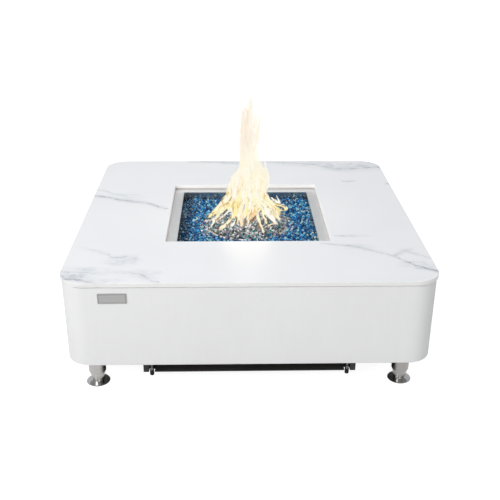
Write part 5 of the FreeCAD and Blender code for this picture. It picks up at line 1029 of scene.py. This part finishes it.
def rear_lick(index):
    """Path, half width and facing of a lick from the rear half of the ring inwards."""
    angle = math.radians(4 + 172 * (index + random.uniform(-0.4, 0.4)) / (REAR_LICKS - 1))
    reach = random.uniform(0.108, 0.128)
    top_x, top_z = 0.05 * math.cos(angle) + random.uniform(-0.01, 0.012), random.uniform(0.425, 0.47)
    tip = np.array([reach * math.cos(angle), reach * math.sin(angle), FLAME_FOOT])
    top = np.array([top_x, 0.012 * math.sin(angle), top_z])
    bow = np.array([0.0, 0.0, -0.008])
    path = [tip, tip + (top - tip) * 0.35 + bow, tip + (top - tip) * 0.7 + bow, top]
    return path, random.uniform(0.006, 0.010), 0.5 * math.cos(angle)


def core_lick():
    """Path, half width and facing of a lick in the middle of the fire."""
    angle = random.uniform(0, 2 * math.pi)
    reach = random.uniform(0.02, 0.06)
    top_z = random.uniform(0.45, 0.53)
    path = [(reach * inward * math.cos(angle) + 0.008 * lift, reach * inward * math.sin(angle),
             CORE_FOOT + (top_z - CORE_FOOT) * lift)
            for inward, lift in ((1.0, 0.0), (0.8, 0.35), (0.55, 0.7), (0.35, 1.0))]
    return path, random.uniform(0.012, 0.017), random.uniform(-0.5, 0.5)


def flame():
    tongues, tones = [], []

    def add(path, wide, taper, tone, flatness, facing, sway):
        tongues.append(tongue(path, [wide * share for share in taper], flatness, facing, sway))
        tones.append(tone)

    def raise_rims(middle, share):
        """Gives the last tongue rim shares from `middle` at its middle, so that it is softer all over."""
        tongues[-1][2][:] = [middle + share * rim for rim in tongues[-1][2]]

    for points, widths, tone in LICKS:
        add(np.array(points) * MM, MM, widths, tone, 0.5, 0.0, 0.0018)
    for points, widths, tone in SHADES:
        add(np.array(points) * MM, 1.15 * MM, widths, tone, 0.4, 0.0, 0.0004)
        raise_rims(0.0, 0.6)
    for points, wide, tone in CURLS:
        add(np.array(points) * MM, wide * MM, CURL_TAPER, tone, 0.6, 0.0, 0.0006)
    for points, wide, tone in COLUMN:
        add(np.array(points) * MM, wide * MM, COLUMN_TAPER, tone, 0.62, 0.0, 0.003)
    for index in range(REAR_LICKS):
        path, wide, facing = rear_lick(index)
        add(path, wide, REAR_TAPER, (CREAM, WHITE, YELLOW)[index % 3], 0.75, facing, 0.004)
    for index in range(CORE_LICKS):
        path, wide, facing = core_lick()
        add(path, wide, CORE_TAPER, (CREAM, YELLOW, WHITE, CREAM)[index % 4], 0.75, facing, 0.004)
    for points, widths, tone, middle in GLOWS:
        add(np.array(points) * MM, MM, widths, tone, 0.5, 0.0, 0.001)
        raise_rims(middle, 1.0 - middle)

    form = joined((vertices, faces) for vertices, faces, _ in tongues)
    piece = new_piece("flame", *form, flame_material())
    smooth(piece.data, sharp_edges=False)
    add_colours(piece, [tone for (_, _, rims), tone in zip(tongues, tones) for _ in rims], "tone")
    shares = [rim for _, _, rims in tongues for rim in rims]
    piece.data.attributes.new("rim", "FLOAT", "POINT").data.foreach_set("value", shares)
    piece.visible_shadow = False


flame()


# ---- floor, world, lights
FLOOR_HALF = 30.0
FLOOR_GLOW = 0.89
# Cards in reflections: name, half size in x and y, height.
CARDS = (("shadow_card_front_rear", 0.405, 0.50, 0.0005), ("shadow_card_sides", 0.50, 0.405, 0.0008))


def floor_material():
    """White floor that keeps the table's shadow and looks white to the camera and in reflections."""
    material = bpy.data.materials.new("studio_floor")
    tree = Nodes(material)
    seen = tree.rays("Camera", "Glossy", "Transmission")
    diffuse = tree.put("BsdfDiffuse", {"Color": (0.5, 0.5, 0.5, 1.0)})
    inputs = {"Color": (1.0, 1.0, 1.0, 1.0), "Strength": tree.multiply(seen, FLOOR_GLOW)}
    glow = tree.put("Emission", inputs)
    tree.surface(tree.put("AddShader", {0: diffuse.outputs[0], 1: glow.outputs[0]}))
    return material


def level_sheet(name, half_x, half_y, level, material):
    turns = ((-1, -1), (1, -1), (1, 1), (-1, 1))
    corners = [(x * half_x, y * half_y, level) for x, y in turns]
    sheet = new_piece(name, corners, [(0, 1, 2, 3)], material)
    return sheet


def shadow_cards():
    """Stand for the dark floor below the table in the feet's reflections."""
    material = bpy.data.materials.new("shadow_card")
    tree = Nodes(material)
    tree.surface(tree.put("Emission", {"Color": (0.01, 0.01, 0.01, 1.0)}))
    for place in CARDS:
        card = level_sheet(*place, material)
        card.visible_camera = card.visible_diffuse = card.visible_shadow = False


level_sheet("floor", FLOOR_HALF, FLOOR_HALF, 0.0, floor_material())
shadow_cards()


def build_world():
    world = bpy.data.worlds.new("studio")
    bpy.context.scene.world = world
    tree = Nodes(world)
    tree.where = tree.put("TexCoord").outputs["Generated"]
    side = tree.spread(tree.axes()[0], -1.0, 1.0, 0.70, 0.46)
    soft = tree.put("Background", {"Color": (0.97, 0.985, 1.0, 1.0), "Strength": side})
    white = tree.put("Background", {"Color": (1.0, 1.0, 1.0, 1.0), "Strength": 1.0})
    seen = tree.rays("Camera", "Transmission")
    shades = {0: seen, 1: soft.outputs[0], 2: white.outputs[0]}
    tree.surface(tree.put("MixShader", shades), "World")


build_world()


def light(name, kind, place, power, colour=(1.0, 1.0, 1.0), **settings):
    data = bpy.data.lights.new(name, kind)
    data.energy = power
    data.color = colour
    for key, value in settings.items():
        setattr(data, key, value)
    lamp = add_object(name, data)
    lamp.location = place
    return lamp


def area_light(name, place, target, size, power):
    lamp = light(name, "AREA", place, power, shape="DISK", size=size)
    lamp.rotation_euler = (Vector(target) - Vector(place)).to_track_quat("-Z", "Y").to_euler()


area_light("key", (-2.2, -2.8, 2.6), (0, 0, 0.25), size=2.4, power=70.0)
area_light("fill", (0.8, -3.6, 1.0), (0, 0, 0.2), size=2.0, power=16.0)
area_light("overhead", (-0.1, 1.1, 2.8), (0, 0.1, 0.36), size=2.2, power=19.5)
light("flame_light", "POINT", (0.0, -0.02, 0.438), 0.7, (1.0, 0.86, 0.76), shadow_soft_size=0.09)


# ---- camera
# Pinhole camera: place in metres, turns in degrees, lens and sensor in millimetres.
CAMERA_PLACE = (-0.0578, -2.3860, 1.3182)
CAMERA_PAN, CAMERA_TILT, CAMERA_ROLL = -1.676, 65.316, 0.426
CAMERA_LENS, SENSOR_WIDTH = 54.95, 36.0


def build_camera():
    data = bpy.data.cameras.new("camera")
    data.sensor_width = SENSOR_WIDTH
    data.lens = CAMERA_LENS
    data.clip_end = 100.0
    camera = add_object("camera", data)
    pan, tilt, roll = (math.radians(turn) for turn in (CAMERA_PAN, CAMERA_TILT, CAMERA_ROLL))
    turn = Matrix.Rotation(pan, 4, "Z") @ Matrix.Rotation(tilt, 4, "X") @ Matrix.Rotation(roll, 4, "Z")
    camera.matrix_world = Matrix.Translation(CAMERA_PLACE) @ turn
    bpy.context.scene.camera = camera


build_camera()
bpy.context.scene.view_settings.view_transform = "Standard"
